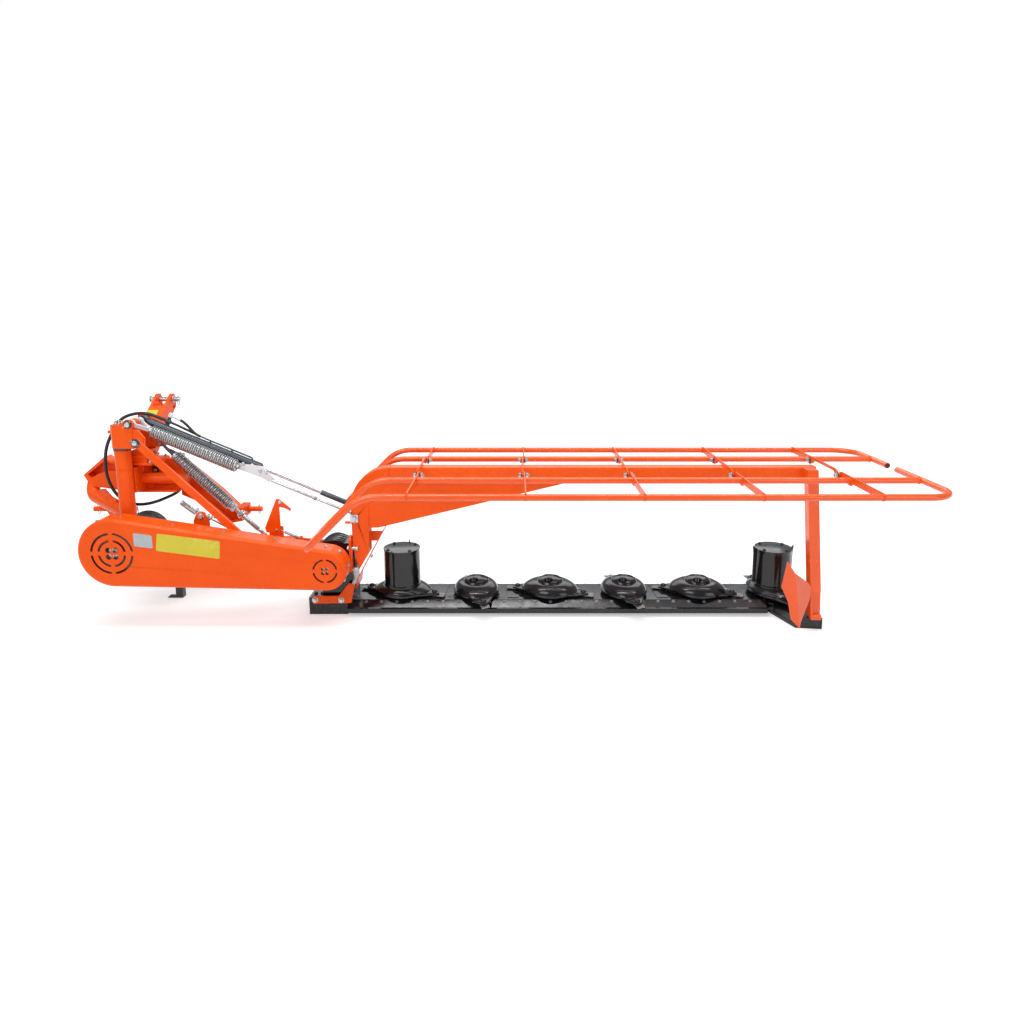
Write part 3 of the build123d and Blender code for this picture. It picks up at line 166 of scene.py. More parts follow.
def paint(name, colour, deep, dust, roughness, coat, wear, specular=0.4):
    """Sprayed enamel: slight mottling, orange peel, softened edges and a film of dust on top."""
    material, tree, bsdf = shader(name, colour, roughness, coat=coat, specular=specular)
    base = mix_colour(tree, patches(tree, 5, 5, 0.35, 0.65), colour, deep)
    edge = calculate(tree, "MULTIPLY", edge_mask(tree, 0.53, 0.62), patches(tree, 60, 6, 0.45, 0.7, 0.5))
    base = mix_colour(tree, edge, base, wear)
    film = calculate(tree, "MULTIPLY", up_mask(tree, 0.3, 0.95), patches(tree, 12, 6, 0.4, 0.75, 0.22))
    base = mix_colour(tree, film, base, dust)
    finish(tree, bsdf, base, noise(tree, 25, 4), roughness - 0.06, roughness + 0.1)
    bump(tree, bsdf, noise(tree, 420, 2), 0.05, 0.001)
    return material


def metal(name, colour, dark, roughness, grain=(1, 1, 1), scale=90, tint=(0.55, 0.5, 0.4), relief=0.12):
    """Plated or drawn steel: patchy shine, fine grain and a little brown in the low spots."""
    material, tree, bsdf = shader(name, colour, roughness, metallic=1.0)
    base = mix_colour(tree, patches(tree, scale, 5, 0.35, 0.7), colour, dark)
    base = mix_colour(tree, patches(tree, 18, 6, 0.58, 0.8, 0.35), base, tint)
    finish(tree, bsdf, base, noise(tree, 140, 3, stretch=grain), roughness - 0.1, roughness + 0.14)
    bump(tree, bsdf, noise(tree, 500, 3, stretch=grain), relief, 0.0006)
    return material


def soft_black(name, colour, light, roughness, scale, strength):
    """Rubber or moulded plastic, with a fine skin and dusty patches."""
    material, tree, bsdf = shader(name, colour, roughness)
    base = mix_colour(tree, patches(tree, 9, 6, 0.45, 0.75, 0.6), colour, light)
    finish(tree, bsdf, base, noise(tree, 40, 4), roughness - 0.08, roughness + 0.1)
    bump(tree, bsdf, noise(tree, scale, 3), strength, 0.0008)
    return material


ORANGE = paint("orange_enamel", (0.93, 0.102, 0.003), (0.88, 0.088, 0.0025), (0.9, 0.26, 0.09),
    roughness=0.27, coat=0.03, wear=(0.95, 0.2, 0.05), specular=0.17)
GLOSS_ORANGE = paint("orange_tube_enamel", (0.93, 0.105, 0.004), (0.88, 0.092, 0.003), (0.9, 0.26, 0.09),
    roughness=0.2, coat=0.15, wear=(0.95, 0.2, 0.05), specular=0.5)
BLACK = paint("black_enamel", (0.004, 0.0045, 0.006), (0.007, 0.0075, 0.009), (0.06, 0.06, 0.06),
    roughness=0.13, coat=0.12, wear=(0.09, 0.09, 0.095), specular=0.42)
GREY = paint("grey_enamel", (0.05, 0.052, 0.056), (0.035, 0.037, 0.04), (0.16, 0.15, 0.14), roughness=0.42,
    coat=0.05, wear=(0.12, 0.12, 0.12))
SLATE = paint("cylinder_enamel", (0.04, 0.05, 0.068), (0.028, 0.034, 0.048), (0.14, 0.14, 0.15),
    roughness=0.3, coat=0.15, wear=(0.12, 0.13, 0.15), specular=0.5)
ZINC = metal("zinc_plate", (0.58, 0.59, 0.6), (0.4, 0.41, 0.43), 0.34)
SPRING_WIRE = metal("spring_wire", (0.44, 0.44, 0.445), (0.38, 0.38, 0.385), 0.36, scale=8,
    tint=(0.27, 0.265, 0.26), relief=0.004)
CHROME = metal("chromed_rod", (0.75, 0.76, 0.78), (0.62, 0.63, 0.65), 0.16, grain=(1, 8, 8), scale=30)
DARK_STEEL = metal("dark_steel", (0.12, 0.12, 0.125), (0.06, 0.06, 0.065), 0.42)
CAST = metal("cast_grey", (0.27, 0.27, 0.28), (0.2, 0.2, 0.21), 0.55, scale=200)
RUBBER = soft_black("black_rubber", (0.012, 0.012, 0.0125), (0.03, 0.029, 0.028), 0.5, scale=650,
    strength=0.12)
PLASTIC = soft_black("black_plastic", (0.014, 0.0145, 0.016), (0.03, 0.03, 0.031), 0.45, scale=380,
    strength=0.1)
# zinc parts given a white non-metal base: the zinc's own pale tone lifted to white as painted sheen for their
# bright highlights
ZINC_WITH_PAINTED_SHEEN = paint("zinc_with_painted_sheen", (0.8, 0.82, 0.85), (0.7, 0.72, 0.75), (0.8, 0.8, 0.78), roughness=0.3,
    coat=0.1, wear=(0.85, 0.85, 0.85), specular=0.6)
SILVER_PLATE = metal("plate_silver", (0.4, 0.42, 0.44), (0.35, 0.37, 0.39), 0.38, grain=(1, 30, 30), scale=50)
YELLOW_PLATE = paint("plate_yellow", (0.66, 0.56, 0.03), (0.6, 0.5, 0.025), (0.7, 0.62, 0.3), roughness=0.35,
    coat=0.05, wear=(0.8, 0.7, 0.2))
EDGE_STEEL = metal("knife_steel", (0.3, 0.29, 0.28), (0.16, 0.15, 0.15), 0.4, grain=(1, 12, 1), scale=70)

SLOT_MATERIAL = {
    "orange_paint": ORANGE,
    "black_paint": BLACK,
    "zinc": ZINC,
    "cylinder_paint": SLATE,
    "belt_rubber": RUBBER,
    "black_plastic": PLASTIC,
    "grey_paint": GREY,
    "cast": CAST,
}
SLOT_OF = {material.name: slot for slot, material in SLOT_MATERIAL.items()}
SLOT_OF.update({material.name: "zinc" for material in (ZINC_WITH_PAINTED_SHEEN, SPRING_WIRE, DARK_STEEL, CHROME)})
del SLOT_OF[CAST.name]

GLOSSY_NODES = ("rear_hoop", "front_hoop", "outer_post", "divider_plate")
for part in frame["record"]["subparts"]:
    mesh = nodes[part["node"]].data
    mesh.materials.clear()
    glossy = part["node"] in GLOSSY_NODES
    mesh.materials.append(GLOSS_ORANGE if glossy else SLOT_MATERIAL[part["material_slot"]])

SHARP_EDGE = math.radians(32)


def round_edges(obj, width):
    edge = obj.modifiers.new("edge", "BEVEL")
    edge.width = width
    edge.segments = 2
    edge.limit_method = "ANGLE"
    edge.angle_limit = SHARP_EDGE
    obj.modifiers.new("normal", "WEIGHTED_NORMAL").keep_sharp = True


def soften(name, width):
    """Rounds the edges of a carried-over solid without touching its mesh."""
    weld = nodes[name].modifiers.new("weld", "WELD")
    weld.merge_threshold = 0.00001
    round_edges(nodes[name], width)


EDGE_WIDTHS = {
    0.0006: "guard_brackets",
    0.0008: "rear_guard_bars front_guard_bars",
    0.001: "deflector",
    0.0012: "divider_plate tower_pin",
    0.0014: "link_plate",
    0.0015: "cover_back stand_socket foot_bracket tower_gussets upper_pin",
    0.0016: "cylinder_barrel latch_hook",
    0.002: "belt_cover post_sleeve stand_leg cutter_bar inner_shoe outer_shoe top_link_pin lower_link_pins",
    0.0025: "arm_beam mast",
    0.0028: "head_bracket",
    0.003: "brace hitch_frame",
    0.004: "gearbox guard_beam tower outer_post",
}
for width, names in EDGE_WIDTHS.items():
    for name in names.split():
        soften(name, width)


# ---- mesh helpers


def along(start, end):
    """A matrix whose Z runs from start to end."""
    run = Vector(end) - Vector(start)
    turn = run.to_track_quat("Z", "Y")
    return Matrix.Translation(Vector(start)) @ turn.to_matrix().to_4x4()


def across(spot, y0, y1):
    """The two ends of an axis along Y through a point (x, z)."""
    return (spot[0], y0, spot[1]), (spot[0], y1, spot[1])


def arc(centre, radius, first, last, count=12):
    """Points on an arc in a plane, the angles in degrees."""
    turns = [math.radians(first + (last - first) * i / count) for i in range(count + 1)]
    return [(centre[0] + radius * math.cos(t), centre[1] + radius * math.sin(t)) for t in turns]


def around(centre, radius, count, first=0.0):
    """Points spread evenly on a circle, the first one's angle in degrees."""
    return arc(centre, radius, first, first + 360, count)[:-1]


def lathe(bm, profile, place, segments=32, closed=False):
    """Turns (radius, height) points about the matrix's Z."""
    rings = []
    for radius, height in profile:
        if radius < 1e-7:
            rings.append([bm.verts.new(place @ Vector((0, 0, height)))])
            continue
        ring = []
        for i in range(segments):
            a = 2 * math.pi * i / segments
            ring.append(bm.verts.new(place @ Vector((radius * math.cos(a), radius * math.sin(a), height))))
        rings.append(ring)
    pairs = list(zip(rings, rings[1:]))
    if closed:
        pairs.append((rings[-1], rings[0]))
    for low, high in pairs:
        for i in range(segments):
            j = (i + 1) % segments
            if len(low) == 1 and len(high) == 1:
                continue
            if len(low) == 1:
                bm.faces.new((low[0], high[j], high[i]))
            elif len(high) == 1:
                bm.faces.new((low[i], low[j], high[0]))
            else:
                bm.faces.new((low[i], low[j], high[j], high[i]))


def rod(bm, start, end, radius, segments=24, round_edge=0.0015):
    """A round bar with softened ends."""
    length = (Vector(end) - Vector(start)).length
    e = min(round_edge, radius * 0.4, length * 0.3)
    profile = [(0, 0), (radius - e, 0), (radius - 0.3 * e, 0.3 * e), (radius, e)]
    profile += [(radius, length - e), (radius - 0.3 * e, length - 0.3 * e), (radius - e, length), (0, length)]
    lathe(bm, profile, along(start, end), segments)


def pipe(bm, start, end, outer, inner, segments=32, lip=0.001):
    length = (Vector(end) - Vector(start)).length
    profile = [(outer - lip, 0), (outer, lip), (outer, length - lip), (outer - lip, length)]
    profile += [(inner + lip, length), (inner, length - lip), (inner, lip), (inner + lip, 0)]
    lathe(bm, profile, along(start, end), segments, closed=True)


def sweep(bm, points, radius, sides=10, caps=True):
    """A round tube along points, without twist. radius is one number or one for each point."""
    points = [Vector(p) for p in points]
    radii = radius if isinstance(radius, (list, tuple)) else [radius] * len(points)
    tangent = (points[1] - points[0]).normalized()
    side = tangent.orthogonal().normalized()
    rings = []
    for k, point in enumerate(points):
        before = points[max(k - 1, 0)]
        after = points[min(k + 1, len(points) - 1)]
        fresh = (after - before).normalized()
        side = (tangent.rotation_difference(fresh) @ side).normalized()
        tangent = fresh
        other = tangent.cross(side)
        ring = []
        for i in range(sides):
            a = 2 * math.pi * i / sides
            ring.append(bm.verts.new(point + radii[k] * (math.cos(a) * side + math.sin(a) * other)))
        rings.append(ring)
    for low, high in zip(rings, rings[1:]):
        for i in range(sides):
            j = (i + 1) % sides
            bm.faces.new((low[i], low[j], high[j], high[i]))
    if caps:
        bm.faces.new(list(reversed(rings[0])))
        bm.faces.new(rings[-1])


def helix(bm, start, end, radius, wire, turns, per_turn=20, sides=8):
    """A coil of evenly spaced turns."""
    place = along(start, end)
    length = (Vector(end) - Vector(start)).length
    count = int(turns * per_turn)
    points = []
    for k in range(count + 1):
        a = 2 * math.pi * k / per_turn
        points.append(place @ Vector((radius * math.cos(a), radius * math.sin(a), length * k / count)))
    sweep(bm, points, wire / 2, sides)


def prism(bm, outline, direction):
    """A plate from an outline in space, thickened along a vector."""
    push = Vector(direction)
    near = [bm.verts.new(Vector(p)) for p in outline]
    far = [bm.verts.new(Vector(p) + push) for p in outline]
    faces = [bm.faces.new(near), bm.faces.new(list(reversed(far)))]
    for i in range(len(near)):
        j = (i + 1) % len(near)
        faces.append(bm.faces.new((near[j], near[i], far[i], far[j])))
    bmesh.ops.recalc_face_normals(bm, faces=faces)


def plate_xz(bm, outline, y0, y1):
    prism(bm, [(x, y0, z) for x, z in outline], (0, y1 - y0, 0))


def plate_yz(bm, outline, x0, x1):
    prism(bm, [(x0, y, z) for y, z in outline], (x1 - x0, 0, 0))


def plate_xy(bm, outline, z0, z1):
    prism(bm, [(x, y, z0) for x, y in outline], (0, 0, z1 - z0))


def hex_nut(bm, place, radius, height, chamfer=0.12):
    """A hexagon head or nut with its top corners turned off."""
    flat = radius * (1 - chamfer)
    lathe(bm, [(0, 0), (radius, 0), (radius, height * 0.8), (flat, height), (0, height)], place, 6)


def bolt(bm, at, normal, size=0.006, head=0.7, washer=True, stub=0.0):
    """A hexagon bolt head on its washer at a point, its axis along normal."""
    place = along(at, Vector(at) + Vector(normal))
    lift = 0.0
    if washer:
        lift = size * 0.25
        lathe(bm, [(0, 0), (size * 1.9, 0), (size * 1.9, lift * 0.8), (size * 1.8, lift), (0, lift)],
            place, 20)
    place = place @ Matrix.Translation((0, 0, lift))
    height = size * head * 1.6
    hex_nut(bm, place, size * 1.45, height)
    if stub:
        place = place @ Matrix.Translation((0, 0, height))
        profile = []
        count = max(3, int(stub / 0.0016))
        for i in range(count):
            profile += [(size * 0.72, stub * i / count), (size * 0.8, stub * (i + 0.5) / count)]
        lathe(bm, [(0, 0), *profile, (size * 0.6, stub), (0, stub)], place, 14)


def piece(name, bm, body, material, replaces=(), slot=None, bevel=0.0):
    """Makes the built mesh an object that rides on a body. The slot, named or from the material, is not used.
    """
    bmesh.ops.remove_doubles(bm, verts=bm.verts, dist=1e-7)
    mesh = bpy.data.meshes.new(name)
    bm.to_mesh(mesh)
    bm.free()
    mesh.materials.append(material)
    mesh.shade_smooth()
    mesh.set_sharp_from_angle(angle=SHARP_EDGE)
    obj = bpy.data.objects.new(name, mesh)
    scene.collection.objects.link(obj)
    if bevel:
        round_edges(obj, bevel)
    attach(obj, body)
    slot = slot or SLOT_OF.get(material.name)
    if replaces:
        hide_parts(*replaces)
    return obj


def bolts(name, body, spots, material=ZINC, size=0.006, **more):
    """One piece with a bolt head at each (point, normal)."""
    bm = bmesh.new()
    for at, normal in spots:
        bolt(bm, at, normal, size, **more)
    piece(name, bm, body, material, slot="zinc")


# ---- hose


def cord_curve(name, route, radius):
    """A smooth line through a route of control points, in metres."""
    curve = bpy.data.curves.new(name, "CURVE")
    curve.dimensions = "3D"
    curve.bevel_depth = radius
    curve.bevel_resolution = 6
    curve.resolution_u = 10
    curve.use_fill_caps = True
    spline = curve.splines.new("NURBS")
    spline.points.add(len(route) - 1)
    for point, place in zip(spline.points, route):
        point.co = (*place, 1)
    spline.order_u = 3
    spline.use_endpoint_u = True
    curve.materials.append(RUBBER)
    obj = bpy.data.objects.new(name, curve)
    scene.collection.objects.link(obj)
    return obj


HOSE_RADIUS = 0.008
LOWER_ROUTE = [
    (-1.610, 0.398, 0.759), (-1.610, 0.397, 0.719), (-1.611, 0.392, 0.675),
    (-1.613, 0.372, 0.637), (-1.617, 0.340, 0.613), (-1.622, 0.300, 0.605),
    (-1.640, 0.258, 0.598), (-1.674, 0.218, 0.586), (-1.719, 0.186, 0.577),
    (-1.768, 0.164, 0.579), (-1.812, 0.149, 0.597), (-1.852, 0.138, 0.636),
    (-1.880, 0.131, 0.694), (-1.894, 0.128, 0.768), (-1.886, 0.127, 0.862),
    (-1.862, 0.123, 0.928), (-1.846, 0.133, 0.962),
]
UPPER_ROUTE = [
    (-1.834, 0.141, 0.988), (-1.819, 0.151, 1.020), (-1.788, 0.164, 1.048),
    (-1.740, 0.178, 1.063), (-1.690, 0.188, 1.064), (-1.640, 0.193, 1.047),
    (-1.591, 0.194, 1.025),
]
hose_lower = cord_curve("hose_line_lower", LOWER_ROUTE, HOSE_RADIUS)
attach(hose_lower, "headstock")
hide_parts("hose_lower")
hose_upper = cord_curve("hose_line_upper", UPPER_ROUTE, HOSE_RADIUS)
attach(hose_upper, "arm")
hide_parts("hose_upper")

# The screwed union behind the head, between the two lengths
bm = bmesh.new()
union = along(LOWER_ROUTE[-1], UPPER_ROUTE[0])
union_length = (Vector(UPPER_ROUTE[0]) - Vector(LOWER_ROUTE[-1])).length
lathe(bm, [(0, 0.0005), (0.0095, 0.0005), (0.0105, 0.002), (0.0105, 0.008), (0.0095, 0.009), (0, 0.009)],
    union, 24)
hex_nut(bm, union @ Matrix.Translation((0, 0, 0.009)), 0.012, 0.011)
top = union_length - 0.0005
lathe(bm, [(0, 0.02), (0.0095, 0.02), (0.0105, 0.022), (0.0105, top - 0.0015), (0.0095, top), (0, top)],
    union, 24)
hose_union = piece("hose_union", bm, "arm", ZINC, ["hose_connector"])

# The quick coupler at the parked end
bm = bmesh.new()
coupler = along(LOWER_ROUTE[0], (LOWER_ROUTE[0][0], LOWER_ROUTE[0][1], LOWER_ROUTE[0][2] + 0.05))
lathe(
    bm,
    [(0, 0.0002), (0.0105, 0.0002), (0.0115, 0.002), (0.0115, 0.012), (0.013, 0.014), (0.013, 0.03),
        (0.0112, 0.032), (0.0112, 0.046), (0.0095, 0.051), (0, 0.051)],
    coupler,
    28,
)
hose_plug = piece("hose_plug", bm, "headstock", ZINC, ["hose_coupler"])

# ---- lift strut

UPPER_PIN = (-1.703, 1.028)
TOWER_PIN = (-0.588, 0.548)
STRUT_LENGTH = math.hypot(TOWER_PIN[0] - UPPER_PIN[0], TOWER_PIN[1] - UPPER_PIN[1])
SPRING_Y = 0.133
CYLINDER_Y = 0.193
SPRING_DROP = 0.022
SPRING_FROM = 0.082
SPRING_TO = 0.542
LIFT_COIL_RADIUS = 0.0288
LIFT_WIRE = 0.0104
LIFT_TURNS = 42
COIL_STEPS = 24
TIE_ROD_RADIUS = 0.008
ROD_CLEARANCE = 0.0096
BARREL_RADIUS = 0.0238
PLATE_FACE_Y = SPRING_Y + 0.0108


def strut(a, b, y):
    """A point on the strut: a along it from the upper pin, b above it."""
    ux = (TOWER_PIN[0] - UPPER_PIN[0]) / STRUT_LENGTH
    uz = (TOWER_PIN[1] - UPPER_PIN[1]) / STRUT_LENGTH
    return (UPPER_PIN[0] + a * ux - b * uz, y, UPPER_PIN[1] + a * uz + b * ux)


def on_spring(a):
    """A point on the lift spring's line."""
    return strut(a, -SPRING_DROP, SPRING_Y)


def strut_plate(bm, outline, y0, y1):
    prism(bm, [strut(a, b, y0) for a, b in outline], (0, y1 - y0, 0))


def on_cylinder(a):
    """A point on the lift cylinder's line."""
    return strut(a, 0, CYLINDER_Y)


bm = bmesh.new()
helix(bm, on_spring(SPRING_FROM), on_spring(SPRING_TO), LIFT_COIL_RADIUS, LIFT_WIRE, LIFT_TURNS, COIL_STEPS)
piece("lift_coil", bm, "strut", SPRING_WIRE, ["lift_spring"])

# Fork: two eyes on the upper pin, each with an arm to the block over the coil
bm = bmesh.new()
slant = Vector(strut(0.009, 0, -0.0064)) - Vector(strut(0, 0, 0))
for y0, y1, y_arm, y_end, push in (
    (0.057, 0.07, 0.0635, SPRING_Y - 0.006, slant),
    (0.141, 0.154, 0.142, SPRING_Y + 0.002, (0, 0.011, 0)),
):
    rod(bm, *across(UPPER_PIN, y0, y1), 0.021, 36)
    outline = [strut(0.014, 0.01, y_arm), strut(0.014, -0.011, y_arm)]
    outline += [strut(0.06, -0.027, y_end), strut(0.06, -0.007, y_end)]
    prism(bm, outline, push)
strut_plate(bm, [(0.052, 0.0), (0.05, -0.028), (0.068, -0.031), (0.07, -0.008), (0.064, -0.002)],
    SPRING_Y - 0.013, SPRING_Y + 0.013)
piece("lift_fork", bm, "strut", ZINC_WITH_PAINTED_SHEEN, bevel=0.0016)

bm = bmesh.new()
rod(bm, strut(0.06, -0.017, SPRING_Y), on_spring(0.088), 0.0115)
hex_nut(bm, along(strut(0.068, -0.0185, SPRING_Y), on_spring(0.09)), 0.019, 0.012)
rod(bm, on_spring(0.083), on_spring(0.1), 0.0245, 32)
pipe(bm, on_spring(SPRING_TO - 0.016), on_spring(SPRING_TO - 0.001), 0.0245, ROD_CLEARANCE)
pipe(bm, on_spring(SPRING_TO - 0.02), on_spring(SPRING_TO + 0.012), 0.0125, ROD_CLEARANCE)
piece("lift_coil_ends", bm, "strut", ZINC)

# Eye plate that hooks the coil to the link plate
bm = bmesh.new()
EYE_FACE_Y = SPRING_Y + 0.0087
outline = [(0.535, -0.013), (0.552, -0.003), (0.574, -0.004), (0.586, -0.017), (0.577, -0.032),
    (0.556, -0.036), (0.535, -0.03)]
strut_plate(bm, outline, EYE_FACE_Y, PLATE_FACE_Y)
piece("lift_eye", bm, "strut", ZINC_WITH_PAINTED_SHEEN, bevel=0.002)
spots = ((0.566, -0.0015, EYE_FACE_Y), (0.66, -0.001, PLATE_FACE_Y), (0.69, 0.004, PLATE_FACE_Y))
bolts("link_bolts", "strut", [(strut(*spot), (0, -1, 0)) for spot in spots], size=0.0056)

nodes["link_plate"].data.materials[0] = ZINC_WITH_PAINTED_SHEEN

# Cylinder: gland, end cap, port fitting, hose and hard pipe
bm = bmesh.new()
rod(bm, on_cylinder(0.598), on_cylinder(0.648), BARREL_RADIUS, 40)
rod(bm, on_cylinder(0.646), on_cylinder(0.654), 0.0165, 32)
rod(bm, on_cylinder(0.038), on_cylinder(0.062), BARREL_RADIUS, 40)
piece("cylinder_caps", bm, "strut", SLATE, bevel=0.001)

PORT_Y = CYLINDER_Y + 0.001


def port_at(a, b):
    return strut(a, b, PORT_Y)


bm = bmesh.new()
hex_nut(bm, along(port_at(0.1095, 0.041), port_at(0.14, 0.041)), 0.0148, 0.013)
rod(bm, port_at(0.118, 0.018), port_at(0.1215, 0.07), 0.0085)
for a in (0.35, 0.47):
    pipe(bm, on_cylinder(a), on_cylinder(a + 0.012), 0.0236, 0.0221)
    rod(bm, on_cylinder(a + 0.006), strut(a + 0.006, 0.034, CYLINDER_Y), 0.0035)
piece("port_fitting", bm, "strut", SLATE)
bm = bmesh.new()
hex_nut(bm, along(port_at(0.1215, 0.068), port_at(0.1236, 0.1)), 0.0125, 0.02)
sweep(bm, [port_at(0.122, 0.075), port_at(0.14, 0.0765), port_at(0.156, 0.0755), port_at(0.174, 0.0725)],
    0.0074, 14)
hex_nut(bm, along(port_at(0.166, 0.074), port_at(0.19, 0.069)), 0.0088, 0.01)
piece("port_banjo", bm, "strut", ZINC_WITH_PAINTED_SHEEN)

bm = bmesh.new()
flex = [(0.172, 0.0728), (0.19, 0.0695), (0.212, 0.062), (0.235, 0.051), (0.256, 0.04), (0.276, 0.0335),
    (0.296, 0.0315)]
sweep(bm, [port_at(a, b) for a, b in flex], 0.0072, 16)
return_line = [(0.132, 0.041), (0.17, 0.04), (0.22, 0.037), (0.27, 0.034), (0.3, 0.032)]
sweep(bm, [port_at(a, b) for a, b in return_line], 0.0062, 14)
piece("port_hose", bm, "strut", RUBBER)
bm = bmesh.new()
hard = [(0.286, 0.0322), (0.35, 0.031), (0.5, 0.031), (0.572, 0.031), (0.586, 0.029), (0.592, 0.022),
    (0.593, 0.012)]
sweep(bm, [port_at(a, b) for a, b in hard], 0.0048, 12)
piece("port_pipe", bm, "strut", DARK_STEEL, slot="black_paint")

# The two rods, their eyes and the sleeve
bm = bmesh.new()
rod(bm, on_cylinder(0.345), on_cylinder(STRUT_LENGTH - 0.22), 0.01, 28)
piece("piston_rod", bm, "strut_rod", CHROME, ["strut_rods"])
bm = bmesh.new()
rod(bm, on_cylinder(STRUT_LENGTH - 0.23), on_cylinder(STRUT_LENGTH - 0.014), 0.014, 28)
rod(bm, *across(TOWER_PIN, CYLINDER_Y - 0.014, CYLINDER_Y + 0.014), 0.022, 36, 0.002)
piece("rod_sleeve", bm, "strut_rod", SLATE)
bm = bmesh.new()
low_from = on_spring(0.735)
low_to = on_spring(STRUT_LENGTH - 0.02)
rod(bm, low_from, on_spring(0.984), TIE_ROD_RADIUS)
rod(bm, on_spring(0.98), low_to, 0.0066)
hex_nut(bm, along(on_spring(0.972), on_spring(1.0)), 0.0104, 0.014)
sweep(bm, [low_to, strut(STRUT_LENGTH - 0.012, -0.012, SPRING_Y), strut(STRUT_LENGTH, 0, SPRING_Y)],
    0.0078, 14)
rod(bm, *across(TOWER_PIN, SPRING_Y - 0.01, SPRING_Y + 0.01), 0.02, 36, 0.002)
rod(bm, *across(TOWER_PIN, 0.119, CYLINDER_Y + 0.02), 0.012, 28)
piece("tie_rod", bm, "strut_rod", ZINC)

# ---- float spring

FLOAT_Y = 0.194
FLOAT_HOOK = Vector((-1.627, FLOAT_Y, 0.904))
FLOAT_FROM = Vector((-1.551, FLOAT_Y, 0.835))
FLOAT_TO = Vector((-1.283, FLOAT_Y, 0.571))
FLOAT_ANCHOR = Vector((-1.121, FLOAT_Y, 0.416))
FLOAT_COIL_RADIUS = 0.026
FLOAT_WIRE = 0.0099
FLOAT_TURNS = 36
float_run = (FLOAT_TO - FLOAT_FROM).normalized()


def on_float(origin, distance):
    return origin + float_run * distance


bm = bmesh.new()
helix(bm, FLOAT_FROM, FLOAT_TO, FLOAT_COIL_RADIUS, FLOAT_WIRE, FLOAT_TURNS, COIL_STEPS)
piece("float_coil", bm, "arm", SPRING_WIRE, ["float_spring"])
bm = bmesh.new()
sweep(
    bm,
    [FLOAT_HOOK, on_float(FLOAT_HOOK, 0.02), on_float(FLOAT_HOOK, 0.05), on_float(FLOAT_FROM, -0.03),
        on_float(FLOAT_FROM, -0.012)],
    [0.006, 0.007, 0.009, 0.013, 0.017],
    16,
)
pipe(bm, FLOAT_HOOK - Vector((0, 0.006, 0)), FLOAT_HOOK + Vector((0, 0.006, 0)), 0.018, 0.0083)
piece("float_shank", bm, "arm", DARK_STEEL)
bm = bmesh.new()
rod(bm, on_float(FLOAT_FROM, -0.014), on_float(FLOAT_FROM, 0.012), 0.0222, 32)
rod(bm, on_float(FLOAT_TO, -0.012), on_float(FLOAT_TO, 0.014), 0.0222, 32)
hex_nut(bm, along(on_float(FLOAT_TO, 0.014), on_float(FLOAT_TO, 0.03)), 0.0225, 0.02)
rod(bm, on_float(FLOAT_TO, 0.03), on_float(FLOAT_TO, 0.075), 0.0088)
hex_nut(bm, along(on_float(FLOAT_TO, 0.06), on_float(FLOAT_TO, 0.09)), 0.019, 0.014)
pipe(bm, on_float(FLOAT_TO, 0.072), on_float(FLOAT_TO, 0.082), 0.024, 0.0095)
rod(bm, on_float(FLOAT_TO, 0.08), on_float(FLOAT_TO, 0.195), 0.0125, 28)
rod(bm, on_float(FLOAT_TO, 0.19), FLOAT_ANCHOR, 0.0095)
piece("float_turnbuckle", bm, "arm", ZINC)

# ---- breakaway link, latch and its spring

ARM_SLOPE = [(-1.705, 0.47), (-1.0, 0.402)]


def arm_top(x):
    (x0, z0), (x1, z1) = ARM_SLOPE
    return z0 + (z1 - z0) * (x - x0) / (x1 - x0)


bm = bmesh.new()
outline = [(-1.42, arm_top(-1.42)), (-1.417, 0.53), *arc((-1.378, 0.545), 0.03, 165, 15)]
outline += [(-1.339, 0.53), (-1.338, arm_top(-1.338))]
plate_xz(bm, outline, 0.034, 0.05)
piece("breakaway_lug", bm, "arm", ORANGE, ["breakaway_link"], bevel=0.002)
bm = bmesh.new()
helix(bm, (-1.472, 0.042, 0.622), (-1.404, 0.042, 0.569), 0.0118, 0.0045, 13, 18)
piece("breakaway_coil", bm, "arm", SPRING_WIRE)
bm = bmesh.new()
link_start = Vector((-1.478, 0.042, 0.627))
link_end = Vector((-1.225, 0.042, 0.484))
link_run = (link_end - link_start).normalized()
rod(bm, link_start, link_end, 0.006)
for distance in (0.004, 0.088, 0.15, 0.168):
    hex_nut(bm, along(link_start + link_run * distance, link_end), 0.0125, 0.009)
rod(bm, link_start + link_run * 0.18, link_start + link_run * 0.27, 0.0095)
piece("breakaway_rod", bm, "arm", ZINC)
bolts("breakaway_bolt", "arm", [((-1.378, 0.034, 0.551), (0, -1, 0))], size=0.009)

bolts("latch_bolts", "latch", [((-0.992, 0.102, 0.607), (0, -1, 0)), ((-1.017, 0.102, 0.455), (0, -1, 0))],
    size=0.0048)
bm = bmesh.new()
helix(bm, (-0.977, 0.106, 0.448), (-0.9015, 0.106, 0.4135), 0.0066, 0.0026, 22, 16)
piece("latch_coil", bm, "arm", SPRING_WIRE, ["latch_spring"])
bm = bmesh.new()
sweep(bm, [(-0.978, 0.106, 0.4485), (-0.986, 0.106, 0.452), (-0.993, 0.108, 0.456), (-0.997, 0.11, 0.462)],
    0.0013, 8)
sweep(bm, [(-0.9015, 0.106, 0.4135), (-0.896, 0.106, 0.411), (-0.89, 0.106, 0.412), (-0.887, 0.106, 0.416)],
    0.0013, 8)
piece("latch_coil_hooks", bm, "arm", SPRING_WIRE)
bolts("latch_post_bolt", "arm", [((-0.891, 0.099, 0.415), (0, -1, 0))], ORANGE, size=0.005)

# ---- belt cover

DRIVE = (-1.765, 0.405)
DRIVEN = (-0.715, 0.313)
COVER_FACE_Y = -0.12
cover_slope = math.atan2(DRIVEN[1] - DRIVE[1], DRIVEN[0] - DRIVE[0])


